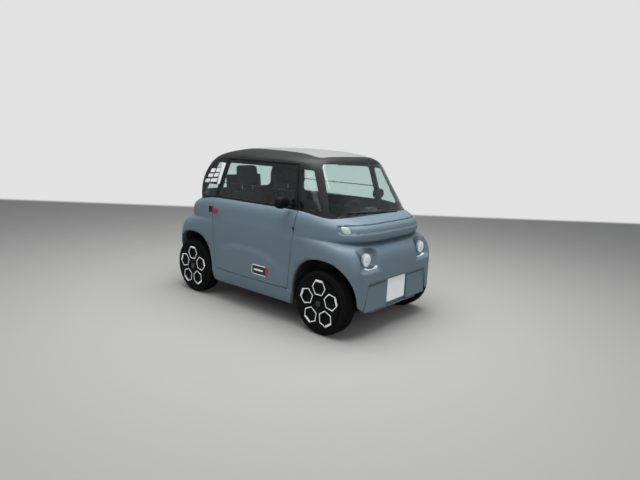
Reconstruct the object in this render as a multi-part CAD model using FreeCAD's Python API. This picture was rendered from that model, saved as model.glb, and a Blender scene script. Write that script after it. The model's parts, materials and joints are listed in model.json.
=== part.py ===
import FreeCAD, Part
import math
import os

os.makedirs("parts", exist_ok=True)

# Microcar, a two-seat electric quadricycle. Millimetres, +Z up, forward is -Y.
# The origin is on the ground under the middle of the car. The car's right side is -X.
# Front and rear body are one moulding turned round, and so are the two doors.

# Whole car
LENGTH = 2410.0
SKIN_WIDTH = 1354.0
OVERHANG = 341.0
BODY_WALL = 36.0
DOOR_GAP = 5.5

# Body skin, station by station: height, how far the side and the nose stand back
# from the widest section, how square the section is in plan, and how far the
# section rises towards the sides
BODY_STATIONS = [
    (188, 44, 66, 9.0, 0),
    (190, 26, 38, 9.0, 0),
    (215, 11, 12, 9.5, 0),
    (300, 4, 2, 10.0, 0),
    (400, 0, 0, 10.0, 0),
    (470, 0, 0, 10.0, 0),
    (515, 0, 0, 10.0, 0),
    (550, 0, 0, 10.0, 0),
    (585, 0, 2, 9.9, 0),
    (618, 0, 6, 9.6, 0),
    (650, 0, 12, 9.3, 0),
    (686, 1, 22, 8.9, 0),
    (728, 2, 48, 8.2, 6),
    (758, 3, 96, 7.0, 16),
    (770, 4, 136, 6.0, 22),
    (778, 4, 138, 5.4, 22),
    (784, 4, 106, 5.0, 22),
    (797, 4, 76, 4.7, 20),
    (826, 4, 66, 4.6, 10),
    (866, 5, 68, 4.5, 0),
    (912, 7, 76, 4.5, 0),
    (950, 12, 96, 4.5, 0),
    (982, 22, 132, 4.6, 0),
    (1004, 36, 178, 4.7, 0),
    (1018, 54, 226, 4.9, 0),
    (1021, 78, 282, 5.2, 0),
    (1014, 140, 380, 6.0, 0),
    (960, 200, 430, 6.0, 0),
]
RING_POINTS = 56
CAVITY_TOP = 938.0

# The bonnet's edge falls towards the nose and the tail
NOSE_FALL = 44.0
FALL_RUN = 500.0
FALL_SETBACK = 145.0

# Swell low on each door under an arched crest, with a hollow above it
SWELL_OUT = 18.0
SWELL_HOLLOW = 8.0
SWELL_CREST = 668.0
SWELL_DROP = 85.0
SWELL_SLOPE = 96.0
SWELL_REACH = 410.0
SWELL_MIDDLE = 40.0

# Cabin, station by station: height, half width, reach forward and back as shares of
# the reach at its foot, squareness. The foot stands back from the nose and the tail.
CABIN_SETBACK = 231.0
TAIL_SETBACK = 275.0
CABIN_STATIONS = [
    (930, 632, 1.000, 1.000, 7.0),
    (985, 624, 0.963, 1.009, 7.0),
    (1040, 617, 0.927, 1.026, 7.0),
    (1120, 603, 0.874, 1.034, 7.0),
    (1220, 581, 0.807, 1.009, 7.2),
    (1310, 560, 0.748, 0.942, 7.6),
    (1372, 543, 0.707, 0.873, 8.0),
    (1412, 528, 0.680, 0.813, 7.6),
    (1440, 505, 0.651, 0.757, 6.6),
    (1462, 468, 0.606, 0.697, 5.6),
    (1482, 418, 0.542, 0.628, 4.8),
    (1498, 352, 0.456, 0.548, 4.2),
    (1510, 268, 0.345, 0.439, 3.8),
    (1518, 168, 0.216, 0.301, 3.4),
    (1521, 70, 0.090, 0.129, 3.0),
]
CABIN_WALL = 26.0
PANE = 5.0
PANE_GAP = 0.6

# Door outline, seen from the side, and its hinge. It widens from the sill to the belt,
# and its window frame steps in at the belt and narrows towards the roof.
DOOR_TO_AXLE = 367.0
DOOR_WIDENS = 59.0
FRAME_STEP = 15.0
FRAME_NARROWS = 74.0
DOOR_BOTTOM = 333.0
BELT = 1018.0
DOOR_TOP = 1390.0
DOOR_CORNER = 34.0
HINGE_DEPTH = 22.0
HINGE_SETBACK = 45.0
HINGE_EDGE_RADIUS = 49.2
HINGE_JAMB_GAP = 5.3
HINGE_RISES = (107.0, 517.0)
HINGE_HEIGHT = 34.0
HINGE_PIN = 5.0
HINGE_EYE = 10.0
PIN_PLAY = 0.05

# Windows
GLASS_SILL = 18.0
GLASS_HEAD = 28.0
GLASS_BORDER = 26.0
FLIP_RISE = 150.0
FLIP_GAP = 3.0
QUARTER_GAP = 26.0
QUARTER_FOOT = 228.0
QUARTER_HEAD = 124.0
SCREEN_FOOT = (560.0, 984.0)
SCREEN_HEAD = (440.0, 1408.0)
BACKLIGHT_FOOT = (490.0, 1062.0)
BACKLIGHT_HEAD = (440.0, 1350.0)
ROOF_PANEL_FRONT = (392.0, 400.0)
ROOF_PANEL_BACK = (272.0, 500.0)

# Wheels, 155/65 R14
TYRE_RADIUS = 276.0
TYRE_WIDTH = 155.0
TREAD_CHAMFER = 8.0
SHOULDER = 11.5
RIM_RADIUS = 178.0
RIM_WALL = 10.0
RIM_FLANGE = 3.5
FLANGE_HEIGHT = 14.0
HUB_RADIUS = 60.0
HUB_BORE = 14.0
AXLE_PLAY = 0.05
COVER_STAND = 9.0
COVER_RADIUS = 213.0
COVER_WALL = 6.0
HEXAGONS = 5
HEXAGON_RING = 139.0
HEXAGON_SIZE = 69.0
HEXAGON_LINE = 9.0
HEXAGON_RAISE = 2.0
HEXAGON_SINK = 2.5

# Wheel arches, with their room round the tyre
ARCH_SIDE_ROOM = 39.0
ARCH_TOP_ROOM = 69.0
ARCH_BASE_RISE = 24.0
ARCH_SQUARE = 2.4
ARCH_FLARE = 0.283
LINER = 5.0
LINER_INNER = 350.0
LINER_LOW = 210.0

# Steering and suspension
BALL_JOINT = (565.0, 152.0)
STRUT_TOP = (430.0, 628.0)
STRUT_RADIUS = 20.0
BALL_RADIUS = 8.0
STEM_RADIUS = 9.0
STEER_ARM = 95.0
TIE_EYE_GAP = 16.0
RACK_STAND = 24.0
RACK_RADIUS = 9.0
HOUSING_RADIUS = 18.0
HOUSING_HALF = 215.0
SLOT_RISE = 59.0
TUBE_HEIGHT = 170.0
TUBE_RADIUS = 22.0
TUBE_TO_AXLE = 254.0

# Steering wheel
WHEEL_X = 285.0
WHEEL_TO_DASH = 226.0
WHEEL_HEIGHT = 872.0
WHEEL_TILT = 27.0
WHEEL_GRIP = 175.0
GRIP_RADIUS = 14.0
SPINDLE_RADIUS = 10.0

# Nose: lamps, plates and bumpers
LAMP = (432.0, 662.0)
LAMP_RADIUS = 56.0
LAMP_SETBACK = 45.0
LAMP_DEPTH = 66.0
POCKET_WALL = 22.0
PLATE_WIDTH = 280.0
PLATE_HEIGHT = 206.0
PLATE_MIDDLE = 356.0
PLATE_THICK = 3.0
BUMPER_RECESS = 22.0
INSERT_SETBACK = 12.0
INDICATOR = (536.0, 898.0)
INDICATOR_WIDTH = 42.0
INDICATOR_HEIGHT = 60.0
POD_LOW = 866.0
POD_HIGH = 934.0
POD_SINK = 8.0
POD_CENTRE_SINK = 1.5

# Floor and frame
FLOOR_LOW = 246.0
FLOOR_THICK = 20.0
RAIL_X = 290.0
RAIL_WIDTH = 50.0
RAIL_HEIGHT = 48.0
BAR_WIDTH = 40.0
OUTRIGGER_INSET = 7.0
OUTRIGGER_WIDTH = 20.0
OUTRIGGER_X = 600.0
BATTERY_LOW = 162.0
BATTERY_GAP = 30.0
PAD_X = 450.0
PAD_RADIUS = 28.0
PAD_LOW = 180.0

# Seats
SEAT_X = 283.0
SEAT_WIDTH = 420.0
SEAT_HIP = 430.0
SEAT_TOP = 1240.0
PASSENGER_BACK = 90.0
PAD_SEAT = 0.3

V = FreeCAD.Vector
X = V(1, 0, 0)
Y = V(0, 1, 0)
Z = V(0, 0, 1)
ORIGIN = V(0, 0, 0)
FAR = 4000.0
NOSE = LENGTH / 2
HALF_SKIN = SKIN_WIDTH / 2
AXLE = NOSE - OVERHANG
CABIN_FRONT = NOSE - CABIN_SETBACK
CABIN_BACK = NOSE - TAIL_SETBACK
DOOR_SILL_HALF = AXLE - DOOR_TO_AXLE
DOOR_BELT_HALF = DOOR_SILL_HALF + DOOR_WIDENS
FRAME_BELT_HALF = DOOR_BELT_HALF - FRAME_STEP
FRAME_LEAN = FRAME_NARROWS / (DOOR_TOP - BELT)
GLASS_BELT = BELT + GLASS_SILL
GLASS_TOP = DOOR_TOP - GLASS_HEAD
HALF_TYRE = TYRE_WIDTH / 2
COVER_FACE = HALF_SKIN
TYRE_MIDDLE = COVER_FACE - COVER_STAND - HALF_TYRE
RACK_HEIGHT = FLOOR_LOW + RACK_STAND
STEER_LINE = AXLE - STEER_ARM - TIE_EYE_GAP


def smooth(value, low, high):
    """Runs from 0 at low to 1 at high with level ends."""
    t = min(1.0, max(0.0, (value - low) / (high - low)))
    return t * t * (3 - 2 * t)


def ring(half_width, front, back, square, height):
    """Closed plan curve: a superellipse whose poles pass it through every point."""
    points = []
    for k in range(RING_POINTS):
        turn = 2 * math.pi * k / RING_POINTS
        c = math.cos(turn)
        s = math.sin(turn)
        reach = back if s > 0 else front
        r = ((abs(c) / half_width) ** square + (abs(s) / reach) ** square) ** (-1 / square)
        x = r * c
        y = r * s
        out, z = height(x, y)
        points.append(V(x + math.copysign(out, c), y, z))
    curve = Part.BSplineCurve()
    steps = [k / RING_POINTS for k in range(RING_POINTS + 1)]
    curve.interpolate(Points=points, PeriodicFlag=True, Parameters=steps)
    return curve


def stack(rings):
    """Solid through rings of poles, smooth from ring to ring, in four quarter faces."""
    poles = [c.getPoles() for c in rings]
    rows = len(rings)
    row_knots = [float(k) for k in range(rows - 2)]
    row_mults = [4] + [1] * (rows - 4) + [4]
    faces = []
    for quarter in range(4):
        surface = Part.BSplineSurface()
        surface.buildFromPolesMultsKnots(
            poles, row_mults, rings[0].getMultiplicities(), row_knots, rings[0].getKnots(),
            False, True, 3, 3)
        surface.segment(row_knots[0], row_knots[-1], quarter / 4, (quarter + 1) / 4)
        faces.append(surface.toShape())
    caps = []
    for level in (row_knots[0], row_knots[-1]):
        rim = [face.Surface.uIso(level).toShape() for face in faces]
        caps.append(Part.Face(Part.Wire(rim)))
    skin = Part.Shell(faces + caps)
    skin.sewShape()
    solid = Part.Solid(skin)
    if solid.Volume < 0:
        solid.reverse()
    return solid


def door_swell(x, y, z):
    """How far the door's side stands out: a swell under an arched crest, a hollow above."""
    fore = -y if x > 0 else y
    crest = SWELL_CREST - SWELL_DROP * abs((fore - SWELL_MIDDLE) / SWELL_REACH) ** 3
    rear_end = SWELL_REACH + 20
    front_end = SWELL_REACH + 70
    length = smooth(rear_end - fore, 0, 110) * smooth(front_end + fore, 0, 100)
    ramp = smooth(crest - z, 0, SWELL_SLOPE)
    rise = smooth(z, 190, 300) * ramp
    hollow = (1 - ramp) * smooth(900 - z, 0, 150)
    return length * smooth(abs(x), 300, 620) * (SWELL_OUT * rise - SWELL_HOLLOW * hollow)


def body_skin(inset, nose_inset=None):
    """Body as a solid block, its skin set back by the inset, at the nose by its own."""
    ahead = inset if nose_inset is None else nose_inset
    fall_end = NOSE - FALL_SETBACK
    rings = []
    for z, side, nose, square, rise in BODY_STATIONS:
        level = z == BODY_STATIONS[0][0] or z == BODY_STATIONS[-1][0]

        def height(x, y):
            fall = 0.0 if level else NOSE_FALL * smooth(abs(y), fall_end - FALL_RUN, fall_end)
            lift = rise * (x / HALF_SKIN) ** 2
            return door_swell(x, y, z), z + lift - fall * smooth(z, 880, 1000)

        reach = NOSE - nose - ahead
        rings.append(ring(HALF_SKIN - side - inset, reach, reach, square, height))
    return stack(rings)


def cabin_skin(inset):
    """Cabin from the belt up as a solid block, its skin set in by the inset."""
    rings = []
    for z, half, front, back, square in CABIN_STATIONS:
        drop = inset * smooth(z, 1400, 1500)

        def height(x, y):
            return 0.0, z - drop

        rings.append(ring(half - inset, front * CABIN_FRONT - inset,
                          back * CABIN_BACK - inset, square, height))
    return stack(rings)


def box(x0, x1, y0, y1, z0, z1):
    return Part.makeBox(x1 - x0, y1 - y0, z1 - z0, V(x0, y0, z0))


def rounded(points, radius):
    """Closed outline through the points, each corner a tangent arc."""
    edges = []
    count = len(points)
    ends = []
    for k in range(count):
        here = points[k]
        before = points[k - 1].sub(here).normalize()
        after = points[(k + 1) % count].sub(here).normalize()
        half = before.getAngle(after) / 2
        reach = radius / math.tan(half)
        middle = V(before.x + after.x, before.y + after.y, before.z + after.z).normalize()
        inner = here.add(middle.multiply(radius / math.sin(half) - radius))
        ends.append((here.add(before.multiply(reach)), inner, here.add(after.multiply(reach))))
    for k in range(count):
        start, inner, stop = ends[k]
        edges.append(Part.Arc(start, inner, stop).toShape())
        following = ends[(k + 1) % count][0]
        if stop.distanceToPoint(following) > 0.01:
            edges.append(Part.LineSegment(stop, following).toShape())
    return Part.Wire(edges)


def side_prism(outline, x0, x1, radius):
    """Prism across the car from an outline of (y, z) corners."""
    wire = rounded([V(x0, y, z) for y, z in outline], radius)
    return Part.Face(wire).extrude(V(x1 - x0, 0, 0))


def front_prism(outline, y0, y1, radius):
    """Prism along the car from an outline of (x, z) corners."""
    wire = rounded([V(x, y0, z) for x, z in outline], radius)
    return Part.Face(wire).extrude(V(0, y1 - y0, 0))


def plan_prism(outline, z0, z1, radius):
    """Upright prism from an outline of (x, y) corners."""
    wire = rounded([V(x, y, z0) for x, y in outline], radius)
    return Part.Face(wire).extrude(V(0, 0, z1 - z0))


def turned(shape):
    """The same piece at the other end and side of the car."""
    return shape.rotated(ORIGIN, Z, 180)


def mirrored(shape):
    """The same piece on the car's other side."""
    return shape.mirror(ORIGIN, X)


def both(shape):
    """The piece and its copy on the other side."""
    return shape.fuse(mirrored(shape))


def as_made(shape):
    """The piece where it was made."""
    return shape


def rod(start, stop, radius):
    run = stop.sub(start)
    return Part.makeCylinder(radius, run.Length, start, run)


def largest(shape):
    return max(shape.Solids, key=lambda solid: solid.Volume)


PARTS = {}


def keep(node, shape):
    PARTS[node] = shape


# Blocks that the panels are cut from
outer = body_skin(0)
cavity = body_skin(BODY_WALL).common(box(-FAR, FAR, -FAR, FAR, 0, CAVITY_TOP))
well_x = HALF_SKIN - 87
well_y = NOSE - 115
cavity = cavity.fuse(plan_prism(
    [(-well_x, -well_y), (well_x, -well_y), (well_x, well_y), (-well_x, well_y)], 150, 240, 90))
cabin_outer = cabin_skin(0)
shell = outer.cut([cavity, cabin_outer])
cabin = cabin_outer.cut(cabin_skin(CABIN_WALL))
pane_skin = cabin_outer.cut(cabin_skin(PANE))


def arch_outline(grow):
    """Wheel arch about its axle: a squarish arch on sides that flare to the sill."""
    half = TYRE_RADIUS + ARCH_SIDE_ROOM + grow
    rise = TYRE_RADIUS + ARCH_TOP_ROOM + grow
    base = TYRE_RADIUS + ARCH_BASE_RISE
    points = []
    steps = 18
    for k in range(steps + 1):
        turn = math.pi * k / steps
        c = math.cos(turn)
        s = math.sin(turn)
        r = ((abs(c) / half) ** ARCH_SQUARE + (s / rise) ** ARCH_SQUARE) ** (-1 / ARCH_SQUARE)
        points.append(V(0, r * c, base + r * s))
    crown = Part.BSplineCurve()
    crown.interpolate(Points=points)
    low = 120.0
    foot = half + ARCH_FLARE * (base - low)
    edges = [
        crown.toShape(),
        Part.LineSegment(points[-1], V(0, -foot, low)).toShape(),
        Part.LineSegment(V(0, -foot, low), V(0, foot, low)).toShape(),
        Part.LineSegment(V(0, foot, low), points[0]).toShape(),
    ]
    return Part.Face(Part.Wire(edges))


def arch(grow, y, x0, x1):
    face = arch_outline(grow).translated(V(x0, y, 0))
    return face.extrude(V(x1 - x0, 0, 0))


def four_arches(grow, inner):
    """The four wheel arches, from well outside the body to the inner wall."""
    deep = HALF_SKIN + 120
    return [arch(grow, y, x, x + deep - inner) for y in (-AXLE, AXLE) for x in (-deep, inner)]


arches = four_arches(0, LINER_INNER)
wells = four_arches(LINER, LINER_INNER)
body = shell.cut(arches)

# Door hinge: a pin axis parallel to the door's leading edge, just below the skin
edge_lean = DOOR_WIDENS / (BELT - DOOR_BOTTOM)
hinge_x = -(HALF_SKIN - HINGE_DEPTH)


def hinge_point(z):
    """Point of the right door's hinge axis at a height."""
    edge = -DOOR_SILL_HALF - edge_lean * (z - DOOR_BOTTOM)
    return V(hinge_x, edge + HINGE_SETBACK, z)


def hinge_bar(radius, z0, z1):
    return rod(hinge_point(z0), hinge_point(z1), radius)


SIDE_OUT = -HALF_SKIN - 123
DOOR_IN = -HALF_SKIN + 227
FRAME_IN = -HALF_SKIN + 377


def door_block(grow, edge_radius):
    """Space of the right door below the belt, with a round leading edge."""
    low = DOOR_BOTTOM - grow
    high = BELT + 60
    rear_low = DOOR_SILL_HALF + grow - edge_lean * grow
    rear_high = rear_low + edge_lean * (high - low)
    corner = DOOR_CORNER + grow
    slab = side_prism([(0, low), (rear_low, low), (rear_high, high), (0, high)],
                      SIDE_OUT, DOOR_IN, corner)
    above = side_prism([(hinge_point(low).y, low), (rear_low - 2 * corner, low),
                        (rear_low - 2 * corner, high), (hinge_point(high).y, high)],
                       SIDE_OUT, DOOR_IN, 2.0)
    upper = side_prism([(0, high - 2 * corner), (rear_high - edge_lean * 2 * corner,
                        high - 2 * corner), (rear_high, high), (0, high)],
                       SIDE_OUT, DOOR_IN, 2.0)
    return slab.fuse([above, upper, hinge_bar(edge_radius, low, high)])


def frame_outline(grow):
    """Side outline of the right door's window frame."""
    low = BELT - 118
    high = DOOR_TOP + grow
    low_half = FRAME_BELT_HALF + FRAME_LEAN * (BELT - low) + grow
    high_half = FRAME_BELT_HALF - FRAME_LEAN * (high - BELT) + grow
    return [(-low_half, low), (low_half, low), (high_half, high), (-high_half, high)]


opening_low = door_block(DOOR_GAP, HINGE_EDGE_RADIUS + HINGE_JAMB_GAP)
opening_high = side_prism(frame_outline(DOOR_GAP + 1.5), SIDE_OUT, FRAME_IN, 30)
door_low = door_block(0, HINGE_EDGE_RADIUS)
door_high = side_prism(frame_outline(0), SIDE_OUT, FRAME_IN, 24)
body = body.cut([opening_low, turned(opening_low)])

# Nose moulding: bumper recess, lamp pockets with a sloping floor, the strip between the
# indicators, and the finger recess behind the door's edge
AHEAD = -NOSE - 95
recess_floor = body_skin(BUMPER_RECESS)
recess_outline = [(-510, 212), (510, 212), (446, 470), (-446, 470)]
recess = front_prism(recess_outline, AHEAD, -NOSE + 205, 26).cut(recess_floor)
pocket_outline = [(545, 566), (300, 566), (294, 724), (330, 746), (540, 762)]
pocket_profile = [(AHEAD, 540), (-NOSE + 6, 562), (-NOSE + 50, 604), (-NOSE + 96, 764),
                  (AHEAD, 800)]
pocket = front_prism(pocket_outline, AHEAD, -NOSE + 120, 30)
pocket = pocket.common(side_prism(pocket_profile, 200, 600, 4))
backing_outline = [(576, 540), (268, 540), (268, 780), (576, 790)]
backing_profile = [(AHEAD, 520), (-NOSE + 72, 520), (-NOSE + 50 + POCKET_WALL, 604),
                   (-NOSE + 96 + POCKET_WALL, 784), (AHEAD, 820)]
backing = front_prism(backing_outline, AHEAD, -NOSE + 140, 20)
backing = backing.common(side_prism(backing_profile, 200, 640, 4))
strip_half = INDICATOR[0] + 40
pod_strip = front_prism(
    [(-strip_half, POD_LOW), (strip_half, POD_LOW), (strip_half, POD_HIGH),
     (-strip_half, POD_HIGH)], AHEAD, -NOSE + 300, 28)
pod_strip = pod_strip.cut(body_skin(POD_SINK, POD_CENTRE_SINK))
finger_edge = DOOR_BELT_HALF + 2
finger = side_prism([(finger_edge, 872), (finger_edge + 58, 880), (finger_edge + 58, 926),
                     (finger_edge, 926)], hinge_x - 45, hinge_x + 3, 12)

clip = body.common(box(-FAR, FAR, -FAR, 0, 0, FAR))
clip = clip.fuse(both(backing).common(outer).cut(wells))
clip = clip.cut([recess, pocket, mirrored(pocket), pod_strip, turned(finger)])
sill_cut = box(-FAR, FAR, -DOOR_SILL_HALF + 20, DOOR_SILL_HALF - 20, 0, DOOR_BOTTOM + 20)
clip = clip.cut(sill_cut)
keep("sills", body.common(sill_cut))

# Plates and bumper inserts sit on the floor of the recess
insert_outline = [(160, 228), (484, 228), (434, 442), (160, 446)]
insert = front_prism(insert_outline, -NOSE + INSERT_SETBACK, -NOSE + 105, 14).cut(recess_floor)
insert = both(insert)
keep("bumper_inserts", insert.fuse(turned(insert)))
plate_half = PLATE_WIDTH / 2
plate_low = PLATE_MIDDLE - PLATE_HEIGHT / 2
plate_high = PLATE_MIDDLE + PLATE_HEIGHT / 2
plate = front_prism(
    [(-plate_half, plate_low), (plate_half, plate_low), (plate_half, plate_high),
     (-plate_half, plate_high)], -NOSE + BUMPER_RECESS - PLATE_THICK, -NOSE + 55, 8)
plate = plate.cut(recess_floor)
keep("number_plates", plate.fuse(turned(plate)))

# Lamps, running lights and indicators, each let into the moulding
lamp = Part.makeCylinder(
    LAMP_RADIUS, LAMP_DEPTH, V(LAMP[0], -NOSE + LAMP_SETBACK + LAMP_DEPTH, LAMP[1]), V(0, -1, 0))
lamp = lamp.makeChamfer(5, [e for e in lamp.Edges if e.BoundBox.YMax < -NOSE + LAMP_SETBACK + 1])


def light_arc(x_near, x_far, radius, width):
    """Band below the lamp: the space between two arcs about a point above it."""
    middle = V((x_near + x_far) / 2, 0, 0)
    edges = []
    rows = []
    for r in (radius, radius - width):
        rows.append([V(middle.x + r * math.sin(a), 0, 783 - r * math.cos(a))
                     for a in (-0.40, 0.0, 0.42)])
    low, high = rows
    edges.append(Part.Arc(low[0], low[1], low[2]).toShape())
    edges.append(Part.LineSegment(low[2], high[2]).toShape())
    edges.append(Part.Arc(high[2], high[1], high[0]).toShape())
    edges.append(Part.LineSegment(high[0], low[0]).toShape())
    return Part.Face(Part.Wire(edges))


band = light_arc(304, 458, 212, 15).translated(V(0, -NOSE + 26, 0)).extrude(V(0, 34, 0))
indicator_half = INDICATOR_WIDTH / 2
indicator_rise = INDICATOR_HEIGHT / 2
indicator = front_prism(
    [(INDICATOR[0] - indicator_half, INDICATOR[1] - indicator_rise),
     (INDICATOR[0] + indicator_half, INDICATOR[1] - indicator_rise),
     (INDICATOR[0] + indicator_half, INDICATOR[1] + indicator_rise),
     (INDICATOR[0] - indicator_half, INDICATOR[1] + indicator_rise)],
    -NOSE + 100, -NOSE + 290, indicator_half - 1)
indicator = indicator.common(body_skin(1)).cut(body_skin(BODY_WALL - 20))
lamps = both(lamp)
bands = both(band)
blinkers = both(indicator)
clip = clip.cut([lamps, bands, blinkers])
keep("headlamps", lamps)
keep("tail_lamps", turned(lamps))
keep("running_lights", bands.fuse(turned(bands)))
keep("indicators", blinkers.fuse(turned(blinkers)))
keep("front_body", clip)
keep("rear_body", turned(clip).cut(cabin_outer))


# Cabin frame and its fixed panes
def shrunk(outline, amount):
    """The outline drawn in on every side by about the amount."""
    cx = sum(p[0] for p in outline) / len(outline)
    cy = sum(p[1] for p in outline) / len(outline)
    return [(a - math.copysign(amount, a - cx), b - math.copysign(amount, b - cy))
            for a, b in outline]


def across(foot, head):
    """Four corners of a pane that is as wide to the left as to the right."""
    return [(-foot[0], foot[1]), (foot[0], foot[1]), (head[0], head[1]), (-head[0], head[1])]


def screen_tool(gap):
    outline = shrunk(across(SCREEN_FOOT, SCREEN_HEAD), gap)
    return front_prism(outline, -NOSE, -CABIN_FRONT / 2, 45 - gap)


def backlight_tool(gap):
    outline = shrunk(across(BACKLIGHT_FOOT, BACKLIGHT_HEAD), gap)
    return front_prism(outline, CABIN_BACK / 2, NOSE, 50 - gap)


def quarter_tool(gap):
    """Both pairs of quarter windows, ahead of and behind the doors."""
    foot = FRAME_BELT_HALF + QUARTER_GAP
    head = foot - FRAME_LEAN * (GLASS_TOP - GLASS_BELT)
    outline = [(-foot, GLASS_BELT), (-head, GLASS_TOP), (-head - QUARTER_HEAD, GLASS_TOP - 8),
               (-foot - QUARTER_FOOT, GLASS_BELT - 20)]
    front = side_prism(shrunk(outline, gap), SIDE_OUT, FRAME_IN, 22 - gap)
    return both(front.fuse(turned(mirrored(front))))


def roof_tool(gap):
    front = -CABIN_FRONT + ROOF_PANEL_FRONT[1]
    back = CABIN_BACK - ROOF_PANEL_BACK[1]
    outline = across((ROOF_PANEL_FRONT[0], front), (ROOF_PANEL_BACK[0], back))
    return plan_prism(shrunk(outline, gap), GLASS_TOP, GLASS_TOP + 300, 60 - gap)


openings = [opening_high, turned(opening_high)]
tools = [screen_tool(0), backlight_tool(0), quarter_tool(0), roof_tool(0)]
keep("cabin_frame", cabin.cut(openings + tools))
keep("windscreen", pane_skin.common(screen_tool(PANE_GAP)))
keep("rear_window", pane_skin.common(backlight_tool(PANE_GAP)))
keep("quarter_windows", pane_skin.common(quarter_tool(PANE_GAP)))
keep("roof_panel", pane_skin.common(roof_tool(PANE_GAP)))

# Doors: a panel with its hinge pockets and pins, a window frame, and glass in two halves
pockets = []
pins = []
arms = []
for rise in HINGE_RISES:
    z = DOOR_BOTTOM + rise
    p = hinge_point(z)
    half = HINGE_HEIGHT / 2
    pockets.append(box(p.x - 12, p.x + 60, p.y - 60, p.y + 17, z - half - 6, z + half + 6))
    pins.append(hinge_bar(HINGE_PIN, z - half - 14, z + half + 14))
    eye = hinge_bar(HINGE_EYE, z - half, z + half)
    web = box(p.x, p.x + 68, p.y - 7, p.y + 7, z - half, z + half)
    run = box(p.x + 56, p.x + 68, p.y - 72, p.y + 7, z - half, z + half)
    foot = box(p.x + 4, p.x + 68, p.y - 72, p.y - 58, z - half, z + half)
    arm = eye.fuse([web, run, foot]).removeSplitter()
    arm = arm.cut(hinge_bar(HINGE_PIN + PIN_PLAY, z - 40, z + 40))
    arms.append(largest(arm.cut(PARTS["front_body"])))
keep("door_hinges", Part.makeCompound(arms + [turned(arm) for arm in arms]))


def door_glass_tool(low, high, grow):
    """Opening of the door's window between two heights, drawn in from the frame."""
    def half(z):
        return FRAME_BELT_HALF - FRAME_LEAN * (z - BELT) - GLASS_BORDER + grow

    return side_prism([(-half(low), low), (half(low), low), (half(high), high),
                       (-half(high), high)], SIDE_OUT, FRAME_IN, 22 + grow)


frame_hole = door_glass_tool(GLASS_BELT, GLASS_TOP, 0)
pane_tool = door_glass_tool(GLASS_BELT + PANE_GAP, GLASS_TOP - PANE_GAP, -PANE_GAP)
flip_line = BELT + FLIP_RISE
flip_cut = box(-FAR, 0, -FAR, FAR, flip_line - FLIP_GAP / 2, flip_line + FLIP_GAP / 2)
for side, place in (("right", as_made), ("left", turned)):
    panel = shell.common(place(door_low)).cut([place(pocket) for pocket in pockets])
    keep("door_panel_" + side, panel.fuse([place(pin) for pin in pins]))
    keep("door_frame_" + side, cabin.common(place(door_high)).cut(place(frame_hole)))
    keep("door_glass_" + side, pane_skin.common(place(pane_tool)).cut(place(flip_cut)))

# Pull tab at the door's free edge, and the mirror at its window
tab_edge = DOOR_BELT_HALF - 11
tab = side_prism([(tab_edge - 83, BELT - 150), (tab_edge, BELT - 144), (tab_edge, BELT - 104),
                  (tab_edge - 75, BELT - 102)], hinge_x - 65, hinge_x + 55, 14)
tab = tab.common(body_skin(-7)).cut(body_skin(-0.3))
keep("door_tab_right", tab)
keep("door_tab_left", turned(tab))
mirror_y = -FRAME_BELT_HALF + 51
mirror_x = -HALF_SKIN - 109
mirror = front_prism([(mirror_x, BELT + 10), (mirror_x + 144, BELT + 18),
                      (mirror_x + 144, BELT + 108), (mirror_x, BELT + 114)],
                     mirror_y, mirror_y + 56, 44)
mirror = mirror.makeChamfer(18, [e for e in mirror.Edges if e.BoundBox.YMax < mirror_y + 1])
stalk = rod(V(mirror_x + 196, mirror_y - 36, BELT + 34),
            V(mirror_x + 94, mirror_y + 28, BELT + 52), 10)
mirror = mirror.fuse(stalk).cut(cabin_outer)
keep("door_mirror_right", mirror)
keep("door_mirror_left", mirrored(mirror))

# Wheel arch liners, closed inboard and open where the shafts and tie rods pass
liners = []
for end in (-1, 1):
    hub_line = end * AXLE
    liner = arch(LINER, hub_line, -HALF_SKIN - 23, -LINER_INNER).cut(
        arch(0, hub_line, -HALF_SKIN - 73, -LINER_INNER - LINER))
    shaft_slot = box(-LINER_INNER - 50, -LINER_INNER + 50, hub_line - 45, hub_line + 140, 0,
                     TYRE_RADIUS + SLOT_RISE)
    low_cut = box(-FAR, FAR, -FAR, FAR, 0, LINER_LOW)
    rail_cut = box(-LINER_INNER - 30, -LINER_INNER + 50, -FAR, FAR, 0, FLOOR_LOW)
    liner = liner.cut([shaft_slot, low_cut, rail_cut])
    moulding = PARTS["front_body" if end < 0 else "rear_body"]
    liners += [largest(half.common(cavity).cut(moulding)) for half in (liner, mirrored(liner))]
keep("arch_liners", Part.makeCompound(liners))
room = cavity.cut(wells)

# Frame under the floor: rails, cross bars, outriggers and the lift's pads
rail_low = FLOOR_LOW - RAIL_HEIGHT
half_rail = RAIL_WIDTH / 2
half_bar = BAR_WIDTH / 2
rail_end = NOSE - 85
seat_bar = AXLE - 344
bars = [box(s * RAIL_X - half_rail, s * RAIL_X + half_rail, -rail_end, rail_end, rail_low,
            FLOOR_LOW) for s in (-1, 1)]
for y in (25 - rail_end, -AXLE - 121, 29 - AXLE, -STEER_LINE, -seat_bar, 0, seat_bar,
          rail_end - 25):
    bars.append(box(-RAIL_X, RAIL_X, y - half_bar, y + half_bar, rail_low, FLOOR_LOW))
outrigger_y = DOOR_SILL_HALF - OUTRIGGER_INSET
for y in (-outrigger_y, outrigger_y):
    bars.append(box(-OUTRIGGER_X, OUTRIGGER_X, y - OUTRIGGER_WIDTH / 2, y + OUTRIGGER_WIDTH / 2,
                    rail_low + 8, FLOOR_LOW))
underframe = bars[0].fuse(bars[1:]).removeSplitter().common(room)
pads = [Part.makeCylinder(PAD_RADIUS, rail_low + 8 - PAD_LOW, V(x, y, PAD_LOW), Z)
        for x in (-PAD_X, PAD_X) for y in (-outrigger_y, outrigger_y)]
keep("underframe", underframe.fuse(pads))

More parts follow.
